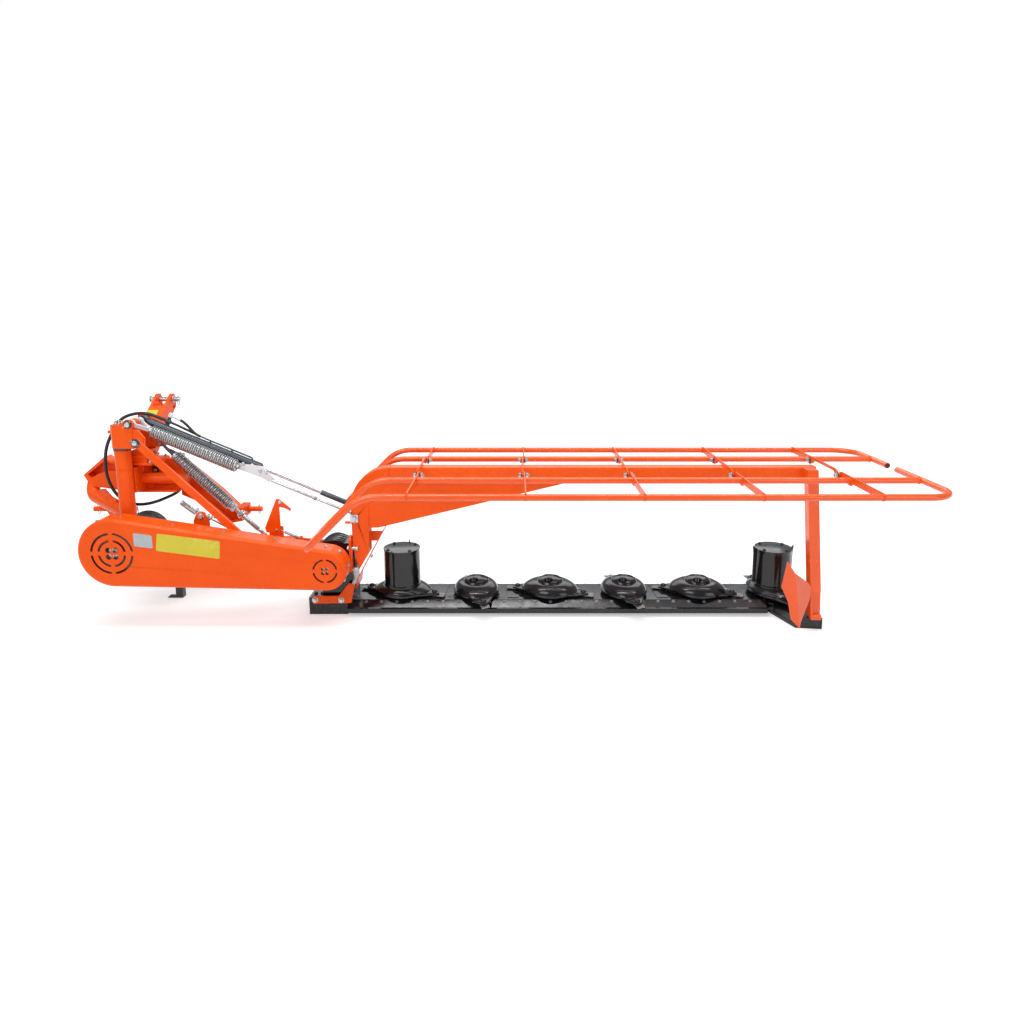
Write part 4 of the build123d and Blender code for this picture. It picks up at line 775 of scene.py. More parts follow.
def blank_plate(name, corners, material, rivets):
    """A bare plate stuck on the cover's face, with softened corners and small rivets."""
    bm = bmesh.new()
    outline = []
    for i in range(4):
        x, z = corners[i]
        for other in (corners[i - 1], corners[(i + 1) % 4]):
            reach = math.hypot(other[0] - x, other[1] - z)
            outline.append((x + (other[0] - x) * 0.005 / reach, z + (other[1] - z) * 0.005 / reach))
    plate_xz(bm, outline, COVER_FACE_Y - 0.0012, COVER_FACE_Y + 0.0002)
    piece(name, bm, "arm", material, bevel=0.0004)
    if rivets:
        middle_x = sum(x for x, z in corners) / 4
        middle_z = sum(z for x, z in corners) / 4
        bm = bmesh.new()
        for x, z in corners:
            spot = Vector((x + (middle_x - x) * 0.08, COVER_FACE_Y - 0.001, z + (middle_z - z) * 0.12))
            place = along(spot, spot + Vector((0, -1, 0)))
            lathe(bm, [(0.003, 0), (0.0026, 0.001), (0.0014, 0.0016), (0, 0.0018)], place, 14)
        piece(name + "_rivets", bm, "arm", ZINC)


blank_plate("plate_small", [(-1.651, 0.512), (-1.559, 0.500), (-1.559, 0.432), (-1.651, 0.444)],
    SILVER_PLATE, True)
blank_plate("plate_large", [(-1.534, 0.509), (-1.226, 0.469), (-1.233, 0.378), (-1.545, 0.420)],
    YELLOW_PLATE, False)

# Screws round the cover's open side
COVER_LEFT = (*DRIVE, 0.175)
COVER_RIGHT = (*DRIVEN, 0.105)
spread = math.acos((COVER_LEFT[2] - COVER_RIGHT[2]) / math.dist(DRIVE, DRIVEN))


def rim_point(share, side, y, lift=0.0):
    """A point on the cover's straight upper or lower edge."""
    turn = cover_slope + side * spread
    x = COVER_LEFT[0] + (COVER_RIGHT[0] - COVER_LEFT[0]) * share
    z = COVER_LEFT[1] + (COVER_RIGHT[1] - COVER_LEFT[1]) * share
    radius = COVER_LEFT[2] + (COVER_RIGHT[2] - COVER_LEFT[2]) * share + lift
    return Vector((x + radius * math.cos(turn), y, z + radius * math.sin(turn)))


def end_point(centre, angle, y, lift=0.0):
    radius = centre[2] + lift
    turn = math.radians(angle)
    return Vector((centre[0] + radius * math.cos(turn), y, centre[1] + radius * math.sin(turn)))


BAND_Y = -0.06
spots = []
up = rim_point(0, 1, BAND_Y, 1) - rim_point(0, 1, BAND_Y)
for share in (0.0, 0.245, 0.49, 0.735, 0.98):
    spots.append((rim_point(share, 1, BAND_Y), up))
down = rim_point(0, -1, BAND_Y, 1) - rim_point(0, -1, BAND_Y)
for share in (0.05, 0.35, 0.65, 0.95):
    spots.append((rim_point(share, -1, BAND_Y), down))
for centre, angles in ((COVER_LEFT, (122, 165, 205, 245)), (COVER_RIGHT, (52, 8, -40))):
    for angle in angles:
        normal = end_point(centre, angle, BAND_Y, 1) - end_point(centre, angle, BAND_Y)
        spots.append((end_point(centre, angle, BAND_Y), normal))
bolts("cover_screws", "arm", spots, size=0.0055, head=0.55)

# ---- drive-shaft shield and stub

SHAFT_RADIUS = 0.0175
GROOVE_RADIUS = 0.0148
bm = bmesh.new()
shield_place = along(*across(DRIVE, 0.1262, 0.3))
profile = [(0.037, 0), (0.108, 0), (0.112, 0.004), (0.112, 0.03), (0.1105, 0.034), (0.1105, 0.108),
    (0.112, 0.112), (0.112, 0.12), (0.1105, 0.124), (0.1105, 0.136), (0.112, 0.14), (0.112, 0.1475),
    (0.1108, 0.1488), (0.1072, 0.1488), (0.106, 0.1475), (0.106, 0.008), (0.104, 0.006), (0.037, 0.006)]
lathe(bm, profile, shield_place, 72, closed=True)
for x, z in around(DRIVE, 0.06, 4, 45):
    bolt(bm, (x, 0.1322, z), (0, 1, 0), 0.005)
piece("shaft_shield", bm, "arm", PLASTIC, ["pto_shield"])

bm = bmesh.new()
stub = along(*across(DRIVE, 0.0, 1))
profile = [(0, -0.106), (0.024, -0.106), (0.025, -0.105), (0.025, 0.091), (0.024, 0.092),
    (SHAFT_RADIUS, 0.092), (SHAFT_RADIUS, 0.13)]
lathe(bm, profile, stub, 40)
SPLINES = 6
SPLINE_STEPS = 8
count = SPLINES * SPLINE_STEPS
rings = []
for y, taper in ((0.13, 0), (0.258, 0), (0.262, 0.0012)):
    ring = []
    for k in range(count):
        angle = 2 * math.pi * k / count
        radius = (SHAFT_RADIUS if k % SPLINE_STEPS < SPLINE_STEPS / 2 else GROOVE_RADIUS) - taper
        ring.append(bm.verts.new(stub @ Vector((radius * math.cos(angle), radius * math.sin(angle), y))))
    rings.append(ring)
for low, high in zip(rings, rings[1:]):
    for k in range(count):
        j = (k + 1) % count
        bm.faces.new((low[k], low[j], high[j], high[k]))
bm.faces.new(rings[-1])
bm.faces.new(list(reversed(rings[0])))
piece("drive_stub", bm, "drive", ZINC, ["input_shaft"])

# ---- discs, knives and drums

DISCS = 6
DISC_PITCH = 0.4
FIRST_DISC_X = -0.38
DISC_Y = 0.195
REST_TURN = 14.5
DOME_RADIUS = 0.125
EAR_REACH = 0.182
EAR_RADIUS = 0.027
CAP_RADIUS = 0.07
CAP_TOP = 0.17
CAP_FOOT = 0.146
CAP_RINGS = 18
HUB_BOLTS = around((0, 0), 0.044, 3, 30)
HUB_BOLT_FOOT = 0.1474
POCKET_FLOOR = 0.1475
POCKET_RADIUS = 0.0155
POCKET_SLOPE = 0.0075
WAIST_DEPTH = 0.055
WAIST_ANGLE = 0.5
WAIST_WIDTH = 0.16
RIM_DROOP = 0.0035
EAR_TOP = 0.0985
EAR_FOOT = 0.0905
DISC_SEGMENTS = 144
SHOULDER_STRETCH = 0.28
HUMP = [(0.07, 0.146), (0.074, 0.1445), (0.082, 0.144), (0.09, 0.1415), (0.1, 0.135), (0.11, 0.1245),
    (0.116, 0.113), (0.1185, 0.1045)]
DRUM_HUMP = [(0.09, 0.131), (0.1, 0.129), (0.108, 0.123), (0.115, 0.115), (0.12, 0.108)]

# The flange's section, as shares of the way from the shoulder to the rim
FLANGE = [(0.1, 0.1025), (0.65, 0.1018), (0.9, 0.1005), (0.975, 0.0995), (1.0, 0.0975), (1.0, 0.0945),
    (0.98, 0.0925), (0.9, 0.0915)]
UNDERSIDE = [(0.1, 0.0915), (0.062, 0.09), (0.06, 0.0885), (0.06, 0.0765), (0.03, 0.0765)]

# Sections of the bolts, and the knife's outline
EAR_BOLT = [(0, 0), (0.0165, 0), (0.0165, 0.0018), (0.0148, 0.0026), (0.0146, 0.006), (0.012, 0.0098),
    (0.0075, 0.0122), (0, 0.0128)]
EAR_NUT = [(0, 0), (0.016, 0), (0.016, -0.0102), (0, -0.0102)]
HUB_BOLT = [(0, 0), (0.0125, 0), (0.0125, 0.0015), (0.009, 0.0015), (0.009, 0.007), (0.008, 0.008),
    (0, 0.008)]
KNIFE = [(0.148, -0.012), (0.168, -0.022), (0.236, -0.022), (0.24, -0.017), (0.24, 0.02),
    (0.236, 0.022), (0.168, 0.022), (0.148, 0.012)]
KNIFE_FOOT = 0.0832
KNIFE_THICKNESS = 0.0042


def disc_x(index):
    return FIRST_DISC_X + index * DISC_PITCH


def rim_reach(angle):
    """Distance from the disc's axis to its edge: a circle with an ear on each side."""
    a = abs(math.atan2(math.sin(angle), math.cos(angle)))
    a = min(a, math.pi - a)
    offset = EAR_REACH * math.sin(a)
    if offset < EAR_RADIUS:
        # the ear's own circle
        edge = EAR_REACH * math.cos(a) + math.sqrt(EAR_RADIUS**2 - offset**2)
    else:
        # the straight flank between the ear's circle and the dome's, then the dome's
        lean = math.acos((DOME_RADIUS - EAR_RADIUS) / EAR_REACH)
        flank = DOME_RADIUS / max(math.cos(lean - a), 0.05) if a < lean else DOME_RADIUS
        edge = min(flank, EAR_REACH + EAR_RADIUS)
    waist = 1 - WAIST_DEPTH * math.exp(-(((a - WAIST_ANGLE) / WAIST_WIDTH) ** 2))
    return edge * waist if a > 0.2 else edge


def cap_height(r, angle):
    """The centre cap: a rounded hat with pockets pressed into its side for the hub's bolts."""
    t = min(r / CAP_RADIUS, 1)
    z = CAP_FOOT + (CAP_TOP - CAP_FOOT) * math.sqrt(max(0.0, 1 - t**2.6))
    for spot in HUB_BOLTS:
        away = math.dist(spot, (r * math.cos(angle), r * math.sin(angle)))
        if away < POCKET_RADIUS + POCKET_SLOPE:
            share = max(0.0, (away - POCKET_RADIUS) / POCKET_SLOPE)
            z = min(z, POCKET_FLOOR + (z - POCKET_FLOOR) * share**1.6)
    return z


def shoulder_reach(r, angle, start, end):
    """The shoulder's radius at an angle: round at its top, oval towards the ears at its foot."""
    wide = r * (1 + SHOULDER_STRETCH * max(0, (r - start) / (end - start)))
    return 1 / math.hypot(math.cos(angle) / wide, math.sin(angle) / r)


def disc_piece(index):
    turn = math.radians(-REST_TURN if index % 2 == 0 else 90 + REST_TURN)
    place = Matrix.Translation((disc_x(index), DISC_Y, 0)) @ Matrix.Rotation(turn, 4, "Z")
    has_drum = index in (0, 5)
    bm = bmesh.new()
    rings = []

    def ring(point_at):
        """Adds a ring of points. point_at gives the radius and the height at an angle."""
        points = []
        for k in range(DISC_SEGMENTS):
            a = 2 * math.pi * k / DISC_SEGMENTS
            r, z = point_at(a)
            points.append(bm.verts.new(place @ Vector((r * math.cos(a), r * math.sin(a), z))))
        rings.append(points)

    def flange_point(share, z, a):
        """A point between the shoulder's foot and the rim, which is bowed down towards the ears."""
        edge = rim_reach(a)
        foot = min(shoulder_reach(last, a, first, last), edge - 0.004)
        return foot + (edge - foot) * share, z - max(0, RIM_DROOP * math.cos(2 * a) * share)

    shoulder = DRUM_HUMP if has_drum else HUMP
    first, last = (DRUM_HUMP[0][0] if has_drum else CAP_RADIUS), shoulder[-1][0]
    centre = bm.verts.new(place @ Vector((0, 0, DRUM_HUMP[0][1] if has_drum else CAP_TOP)))
    if not has_drum:
        for i in range(1, CAP_RINGS):
            r = CAP_RADIUS * i / CAP_RINGS
            ring(lambda a: (r, cap_height(r, a)))
    for r, z in shoulder:
        ring(lambda a: (shoulder_reach(r, a, first, last), z))
    for share, z in FLANGE:
        ring(lambda a: flange_point(share, z, a))
    for r, z in UNDERSIDE:
        ring(lambda a: (r, z))
    for k in range(DISC_SEGMENTS):
        bm.faces.new((centre, rings[0][k], rings[0][(k + 1) % DISC_SEGMENTS]))
    for low, high in zip(rings, rings[1:]):
        for k in range(DISC_SEGMENTS):
            j = (k + 1) % DISC_SEGMENTS
            bm.faces.new((low[k], high[k], high[j], low[j]))
    bm.faces.new(list(reversed(rings[-1])))
    bmesh.ops.recalc_face_normals(bm, faces=bm.faces)
    body = f"disc{index + 1}"
    piece(f"disc_shell_{index + 1}", bm, body, BLACK, [f"disc_{index + 1}"])

    bm = bmesh.new()
    for side in (-1, 1):
        spot = place @ Vector((side * EAR_REACH, 0, EAR_TOP))
        lathe(bm, EAR_BOLT, Matrix.Translation(spot), 24)
        spot = place @ Vector((side * EAR_REACH, 0, EAR_FOOT))
        lathe(bm, EAR_NUT, Matrix.Translation(spot), 6)
    if not has_drum:
        for spot in HUB_BOLTS:
            lathe(bm, HUB_BOLT, Matrix.Translation(place @ Vector((*spot, HUB_BOLT_FOOT))), 6)
    piece(f"disc_bolts_{index + 1}", bm, body, BLACK)

    bm = bmesh.new()
    for side in (-1, 1):
        low = []
        for px, py in KNIFE:
            # the blade twists a little towards its tip
            z = KNIFE_FOOT + 0.045 * max(0, px - 0.2) * (1 if py > 0 else -1)
            low.append(bm.verts.new(place @ Vector((side * px, side * py, z))))
        high = [bm.verts.new(v.co + Vector((0, 0, KNIFE_THICKNESS))) for v in low]
        faces = [bm.faces.new(high), bm.faces.new(list(reversed(low)))]
        for i in range(len(low)):
            j = (i + 1) % len(low)
            faces.append(bm.faces.new((low[i], low[j], high[j], high[i])))
        bmesh.ops.recalc_face_normals(bm, faces=faces)
    piece(f"knives_{index + 1}", bm, body, EDGE_STEEL, slot="black_paint", bevel=0.0008)


for index in range(DISCS):
    disc_piece(index)

DRUM_TOP = 0.334
DRUM_BOLT_RADIUS = 0.083
DRUM_PROFILE = [(0.094, 0.1302), (0.098, 0.1302), (0.098, 0.139), (0.0968, 0.141), (0.0962, 0.15),
    (0.0955, 0.31), (0.096, 0.322), (0.0975, 0.3265), (0.098, 0.33), (0.0975, 0.3335), (0.0945, DRUM_TOP),
    (0.0, DRUM_TOP - 0.0004)]


def drum_piece(name, index, body, fin_angles):
    x = disc_x(index)
    place = Matrix.Translation((x, DISC_Y, 0))
    bm = bmesh.new()
    lathe(bm, DRUM_PROFILE, place, 96)
    lathe(bm, [(0.094, 0.1302), (0.094, 0.328), (0, 0.328)], place, 96)
    for degrees in fin_angles:
        a = math.radians(degrees)
        out = Vector((math.cos(a), math.sin(a), 0))
        side = Vector((-math.sin(a), math.cos(a), 0)) * 0.0016
        outline = [(0.09, 0.14), (0.1075, 0.142), (0.1085, 0.3), (0.113, 0.347), (0.1, 0.3345), (0.09, 0.33)]
        origin = Vector((x, DISC_Y, 0)) - side
        prism(bm, [origin + out * r + Vector((0, 0, z)) for r, z in outline], side * 2)
    piece(name, bm, body, BLACK, ["drum_inner" if index == 0 else "drum_outer"])
    bm = bmesh.new()
    for spot in around((x, DISC_Y), DRUM_BOLT_RADIUS, 4, 38):
        bolt(bm, (*spot, DRUM_TOP - 0.0004), (0, 0, 1), 0.0052)
    piece(name + "_bolts", bm, body, DARK_STEEL, slot="black_paint")


drum_piece("drum_left", 0, "disc1", (75, 250))
drum_piece("drum_right", 5, "disc6", (4, 184))

# ---- cutter bar

BAR_TOP = 0.076
BAR_BOLTS = 27
BAR_BOLT_PITCH = 0.0815
BAR_BOLT_ROWS = ((-0.641, 0.0885, 0.0688, (0, -0.6, 0.8)), (-0.6, 0.3225, 0.0722, (0, 0.5, 0.86)))
spots = []
for first_x, y, z, normal in BAR_BOLT_ROWS:
    for k in range(BAR_BOLTS):
        spots.append(((first_x + k * BAR_BOLT_PITCH, y, z), normal))
bolts("bar_bolts", "cutter", spots, CAST, size=0.0048, head=0.4)
bm = bmesh.new()
skid_side = [(0.056, 0.0198), (0.108, 0.0), (0.306, 0.0), (0.356, 0.008), (0.376, 0.024), (0.36, 0.0198)]
for index in range(5):
    x = disc_x(index)
    plate_yz(bm, skid_side, x - 0.105, x + 0.105)
piece("skid_plates", bm, "cutter", BLACK, ["bar_skids"], bevel=0.002)
bm = bmesh.new()
for index in range(DISCS):
    x = disc_x(index)
    pipe(bm, (x, DISC_Y, BAR_TOP - 0.001), (x, DISC_Y, BAR_TOP + 0.0035), 0.092, 0.0615, 72)
    for spot in around((x, DISC_Y), 0.08, 8, 22.5):
        bolt(bm, (*spot, BAR_TOP + 0.003), (0, 0, 1), 0.0036, head=0.5, washer=False)
piece("hub_flanges", bm, "cutter", BLACK)
bm = bmesh.new()
for x in (-0.614, -0.11, 0.154, 0.42, 0.79, 1.21, 1.44):
    spot = Vector((x, 0.137, BAR_TOP - 0.0005))
    lathe(bm, [(0, 0), (0.021, 0), (0.021, 0.0012), (0.0195, 0.002), (0, 0.002)], Matrix.Translation(spot),
        36)
    hex_nut(bm, Matrix.Translation(spot + Vector((0, 0, 0.002))), 0.0125, 0.0018)
piece("bar_plugs", bm, "cutter", CAST, slot="black_paint")

# Cover strips on the bar between the discs
bm = bmesh.new()
for index in range(5):
    x = disc_x(index + 0.5)
    outline = [(x - 0.045, 0.31), (x - 0.03, 0.12), (x + 0.03, 0.12), (x + 0.045, 0.31)]
    plate_xy(bm, outline, BAR_TOP - 0.0005, BAR_TOP + 0.0028)
piece("bar_cover_strips", bm, "cutter", BLACK, bevel=0.001)

# ---- shoes and foot bracket

bolts("foot_bolts", "cutter", [((-0.826, 0.0718, 0.083), (0, -1, 0)), ((-0.688, 0.0718, 0.082), (0, -1, 0))],
    size=0.0085)
bm = bmesh.new()
plate_xy(bm, [(-0.85, 0.1), (-0.668, 0.1), (-0.668, 0.34), (-0.85, 0.34)], 0.0938, 0.0965)
piece("shoe_top_plate", bm, "cutter", BLACK, bevel=0.001)
bolts("shoe_bolts", "cutter", [((x, y, 0.0965), (0, 0, 1)) for x in (-0.835, -0.8) for y in (0.13, 0.3)],
    DARK_STEEL, size=0.0065)

# ---- guards

GUARD_BARS = 5
BAR_PITCH = 0.5125
FIRST_BAR_X = -0.245
RAIL_Z = 0.8
RAIL_RADIUS = 0.015
REAR_HINGE_Y = -0.105
FRONT_HINGE_Y = 0.25
RAILS = {"rear_guard": (-0.217, -0.533), "front_guard": (0.282, 0.535)}
RAIL_RIGHT = 2.152


WELD_RIPPLE = 0.16


def weld_ring(bm, centre, axis, radius, bead=0.0028, count=40):
    """A rippled fillet of weld round a tube."""
    place = along(centre, Vector(centre) + Vector(axis))
    points = []
    radii = []
    for k in range(count + 1):
        a = 2 * math.pi * k / count
        points.append(place @ Vector((radius * math.cos(a), radius * math.sin(a), 0)))
        radii.append(bead * (1 + WELD_RIPPLE * math.sin(k * 2.4)))
    sweep(bm, points, radii, 8, caps=False)


def weld_line(bm, start, end, bead=0.003):
    """A rippled bead of weld along a seam."""
    start, end = Vector(start), Vector(end)
    count = max(4, int((end - start).length / 0.006))
    points = [start.lerp(end, k / count) for k in range(count + 1)]
    radii = [bead * (1 + WELD_RIPPLE * math.sin(k * 2.3)) for k in range(count + 1)]
    radii[0] = radii[-1] = bead * 0.4
    sweep(bm, points, radii, 8)


def welds(name, body, lines, rings=()):
    """One piece of weld beads: lines as (start, end, bead), rings as (centre, axis, radius, bead)."""
    bm = bmesh.new()
    for line in lines:
        weld_line(bm, *line)
    for ring in rings:
        weld_ring(bm, *ring)
    piece(name, bm, body, ORANGE)


bm = bmesh.new()
rubbers = bmesh.new()
for i in range(GUARD_BARS):
    x = FIRST_BAR_X + i * BAR_PITCH
    for y in (REAR_HINGE_Y, FRONT_HINGE_Y):
        bolt(bm, (x - 0.0085, y, RAIL_Z), (-1, 0, 0), 0.0078, stub=0.004)
        bolt(bm, (x + 0.0165, y, RAIL_Z), (1, 0, 0), 0.0078, stub=0.006)
        for x0, x1 in ((x - 0.0085, x - 0.003), (x + 0.0115, x + 0.0165)):
            rod(rubbers, (x0, y, RAIL_Z), (x1, y, RAIL_Z), 0.0155, 28)
piece("hinge_bolts", bm, "cutter", ZINC)
piece("hinge_bushes", rubbers, "cutter", RUBBER)

for body, (inner_y, outer_y) in RAILS.items():
    bm = bmesh.new()
    for i in range(GUARD_BARS):
        x = FIRST_BAR_X + i * BAR_PITCH + 0.006
        for y in (inner_y, outer_y):
            for side in (-0.0002, 0.0062):
                weld_ring(bm, (x + side, y, RAIL_Z), (1, 0, 0), RAIL_RADIUS, 0.0022)
    weld_ring(bm, (RAIL_RIGHT - RAIL_RADIUS, inner_y, RAIL_Z), (1, 0, 0), RAIL_RADIUS, 0.003)
    piece(body + "_welds", bm, body, ORANGE)

# The hoops' open ends, each with a thin black disc just inside its mouth as painted shade for the dark hollow
# of the tube
TUBE_ENDS = (("rear_tube_end", "rear_guard", 0.012, 1), ("front_tube_end", "front_guard", 0.118, -1))
for name, body, y, side in TUBE_ENDS:
    bm = bmesh.new()
    pipe(bm, (RAIL_RIGHT, y - side * 0.001, RAIL_Z), (RAIL_RIGHT, y + side * 0.004, RAIL_Z), RAIL_RADIUS,
        0.0122, 40, 0.0004)
    piece(name, bm, body, ORANGE)
    # painted shade: a black disc just inside the mouth stands for the shadowed inside of the orange tube
    bm = bmesh.new()
    place = along((RAIL_RIGHT, y, RAIL_Z), (RAIL_RIGHT, y + side, RAIL_Z))
    lathe(bm, [(0, 0), (0.0123, 0), (0.0123, 0.0005), (0, 0.0006)], place, 32)
    piece(name + "_painted_shade_disc", bm, body, RUBBER, slot="orange_paint")

# ---- tower and beam

BEAM_REAR_Y = 0.017
BEAM_FRONT_Y = 0.094
BEAM_TOP_Z = 0.8112
BRACKET_PLACES = (-0.245, 0.2675, 0.78, 1.2925, 1.744)
bm = bmesh.new()
for y, side in ((BEAM_REAR_Y, -1), (BEAM_FRONT_Y, 1)):
    weld_line(bm, (-0.422, y, 0.7305), (0.487, y, 0.7305), 0.0024)
    weld_line(bm, (-0.5115, y, 0.5), (-0.5115, y, 0.62), 0.0024)
    weld_line(bm, (-0.5115, y, 0.62), (-0.422, y, 0.7305), 0.0024)
for x in BRACKET_PLACES:
    for side in (-0.0034, 0.0034):
        start = (x + side, BEAM_REAR_Y + 0.004, BEAM_TOP_Z)
        weld_line(bm, start, (x + side, BEAM_FRONT_Y - 0.004, BEAM_TOP_Z), 0.002)
piece("beam_welds", bm, "cutter", ORANGE)

FLANGE_LEFT_X = -0.6205
FLANGE_RIGHT_X = -0.6085
bm = bmesh.new()
outline = [(0.004, 0.262), (0.052, 0.262), (0.052, 0.44), (0.03, 0.456), (0.004, 0.43)]
plate_yz(bm, outline, FLANGE_LEFT_X, FLANGE_RIGHT_X)
piece("tower_flange", bm, "cutter", ORANGE, bevel=0.0015)
bm = bmesh.new()
for z in (0.389, 0.276):
    rod(bm, (FLANGE_RIGHT_X, 0.014, z), (-0.58, 0.014, z), 0.0085)
    bolt(bm, (FLANGE_LEFT_X, 0.014, z), (-1, 0, 0), 0.0078)
    hex_nut(bm, along((-0.583, 0.014, z), (-0.57, 0.014, z)), 0.0125, 0.008)
piece("tower_flange_bolts", bm, "cutter", ZINC)
bm = bmesh.new()
rod(bm, (-0.64, 0.03, 0.521), (-0.603, 0.03, 0.521), 0.0065)
piece("tower_peg", bm, "cutter", ORANGE)


def split_pin(bm, at, axis, side, size=0.02):
    """A split pin through a pin's end: an eye on one side and two spread legs on the other."""
    at, side, axis = Vector(at), Vector(side).normalized(), Vector(axis).normalized()
    wire = size * 0.055
    loop = []
    for k in range(11):
        a = math.radians(20 + 32 * k)
        reach = size * 0.72 + size * 0.16 * math.sin(a)
        loop.append(at + side * reach + axis * (size * 0.13 * math.cos(a)))
    sweep(bm, loop, wire, 8)
    for bend in (-1, 1):
        legs = [at + side * size * 0.6, at - side * size * 0.6]
        legs.append(at - side * size * 0.85 + axis * bend * size * 0.12)
        legs.append(at - side * size * 1.0 + axis * bend * size * 0.34)
        sweep(bm, legs, wire, 8)


bm = bmesh.new()
split_pin(bm, (TOWER_PIN[0], -0.001, TOWER_PIN[1]), (0, 1, 0), (-0.3, 0, 1), 0.021)
piece("tower_split_pin", bm, "cutter", ZINC)
bolts("deflector_bolts", "cutter",
    [((-0.528, 0.104, 0.318), (0.87, 0, -0.49)), ((-0.536, 0.15, 0.303), (0.87, 0, -0.49))], size=0.0065)

# Folded rubber boot over the gearbox
BOOT_RADIUS = 0.1015
BOOT_FOLDS = 4
BOOT_STEPS = 24
bm = bmesh.new()
profile = [(0.055, 0.0)]
for k in range(BOOT_STEPS + 1):
    share = k / BOOT_STEPS
    profile.append((BOOT_RADIUS + 0.0028 * math.cos(2 * math.pi * BOOT_FOLDS * share), 0.002 + 0.128 * share))
profile.append((0.055, 0.132))
place = along(*across(DRIVEN, 0.06, 1))
lathe(bm, profile, place, 72, closed=True)
for v in bm.verts:
    out = v.co - Vector((DRIVEN[0], v.co.y, DRIVEN[1]))
    v.co += out * 0.018 * math.sin(5 * math.atan2(out.z, out.x) + 30 * v.co.y)
piece("gearbox_boot", bm, "cutter", RUBBER, slot="black_paint")
spots = [((x, 0.196, z), (0, 1, 0)) for x, z in around(DRIVEN, 0.085, 6, 30)]
bolts("gearbox_bolts", "cutter", spots, size=0.006)

# ---- head of the post

HEAD_TOP = 1.024
POST = (-1.765, 0.07)
BRACE_PIN = (-1.656, 0.941)
bm = bmesh.new()
pipe(bm, (*POST, 0.8932), (*POST, 0.9048), 0.042, 0.0305, 64, 0.002)
piece("thrust_ring", bm, "arm", DARK_STEEL)
welds(
    "post_welds",
    "headstock",
    [
        ((-1.73, 0.101, 0.664), (-1.73, 0.101, 0.785), 0.003),
        ((-1.8, 0.101, 0.664), (-1.8, 0.101, 0.785), 0.003),
        ((-1.73, 0.19, 0.664), (-1.73, 0.19, 0.785), 0.003),
    ],
    [
        ((*POST, 0.889), (0, 0, 1), 0.0392, 0.0024, 56),
        ((*POST, 0.8), (0, 0, 1), 0.0396, 0.0022, 56),
    ],
)
bm = bmesh.new()
for y in (0.0775, 0.0865, 0.0955):
    pipe(bm, *across(UPPER_PIN, y, y + 0.006), 0.0228, 0.0196, 44, 0.0015)
piece("pin_rings", bm, "arm", ORANGE)
bm = bmesh.new()
pipe(bm, *across(UPPER_PIN, 0.0243, 0.0278), 0.0205, 0.0123, 40)
pipe(bm, *across(BRACE_PIN, -0.0098, -0.0062), 0.0235, 0.0123, 40)
piece("pin_washers", bm, "arm", DARK_STEEL)
bm = bmesh.new()
rod(bm, *across(UPPER_PIN, 0.0152, 0.0245), 0.0128, 32)
split_pin(bm, (UPPER_PIN[0], 0.0195, UPPER_PIN[1]), (0, 1, 0), (0.8, 0, 0.6), 0.024)
rod(bm, *across(BRACE_PIN, -0.019, -0.0098), 0.0128, 32)
split_pin(bm, (BRACE_PIN[0], -0.0142, BRACE_PIN[1]), (0, 1, 0), (0.8, 0, -0.6), 0.024)
rod(bm, *across(UPPER_PIN, 0.2405, 0.2435), 0.02, 32)
piece("pin_ends", bm, "arm", ZINC)
bm = bmesh.new()
for x, y in ((-1.78, 0.056), (-1.758, 0.05)):
    place = Matrix.Translation((x, y, HEAD_TOP))
    lathe(bm, [(0, 0), (0.0085, 0), (0.0085, 0.006), (0.005, 0.009), (0.0036, 0.014), (0.0045, 0.0165),
        (0.0036, 0.019), (0, 0.0195)], place, 20)
sweep(bm, [(-1.79, 0.066, HEAD_TOP), (-1.788, 0.066, HEAD_TOP + 0.013), (-1.772, 0.068, HEAD_TOP + 0.019),
    (-1.752, 0.07, HEAD_TOP + 0.016), (-1.742, 0.072, HEAD_TOP + 0.001)], 0.0032, 10)
piece("head_fittings", bm, "arm", ZINC)
welds(
    "head_welds",
    "arm",
    [
        ((-1.75, 0.0445, 1.0242), (-1.75, 0.12, 1.0242), 0.0022),
    ],
    [
        ((UPPER_PIN[0], 0.0285, UPPER_PIN[1]), (0, 1, 0), 0.0238, 0.0022),
        ((BRACE_PIN[0], 0.0335, BRACE_PIN[1]), (0, 1, 0), 0.0182, 0.0024),
    ],
)

# ---- arm

welds(
    "arm_welds",
    "arm",
    [
        ((-1.42, 0.0335, arm_top(-1.42) + 0.001), (-1.338, 0.0335, arm_top(-1.338) + 0.001), 0.0024),
        ((-1.7, 0.02, 0.47), (-1.705, 0.02, 0.49), 0.0028),
        ((-1.019, 0.1, 0.3885), (-0.985, 0.1, 0.3885), 0.0026),
        ((-0.9495, 0.0195, 0.277), (-0.9495, 0.0195, 0.392), 0.0026),
    ],
)
spots = [((x, 0.08, z), (0, 1, 0)) for x, z in ((-1.43, 0.39), (-1.05, 0.35))]
bolts("arm_bolts", "arm", spots, size=0.009)

# ---- headstock

bm = bmesh.new()
for x in (-1.7775, -1.6625):
    bolt(bm, (x, 0.312, 0.812), (0, 0, 1), 0.0062, stub=0.004)
    for y in (0.14, 0.2):
        bolt(bm, (x, y, 0.85), (0, 0, 1), 0.0062, stub=0.004)
        rod(bm, (x, y, 0.8115), (x, y, 0.8385), 0.0052)
        hex_nut(bm, Matrix.Translation((x, y, 0.812)), 0.0092, 0.008)
bolt(bm, (-1.715, 0.29, 0.738), (0, -1, 0), 0.009, stub=0.005)
piece("headstock_bolts", bm, "headstock", ZINC)
bm = bmesh.new()
pipe(bm, (-1.715, 0.2865, 0.738), (-1.715, 0.2899, 0.738), 0.0205, 0.009, 36)
piece("headstock_washer", bm, "headstock", DARK_STEEL)

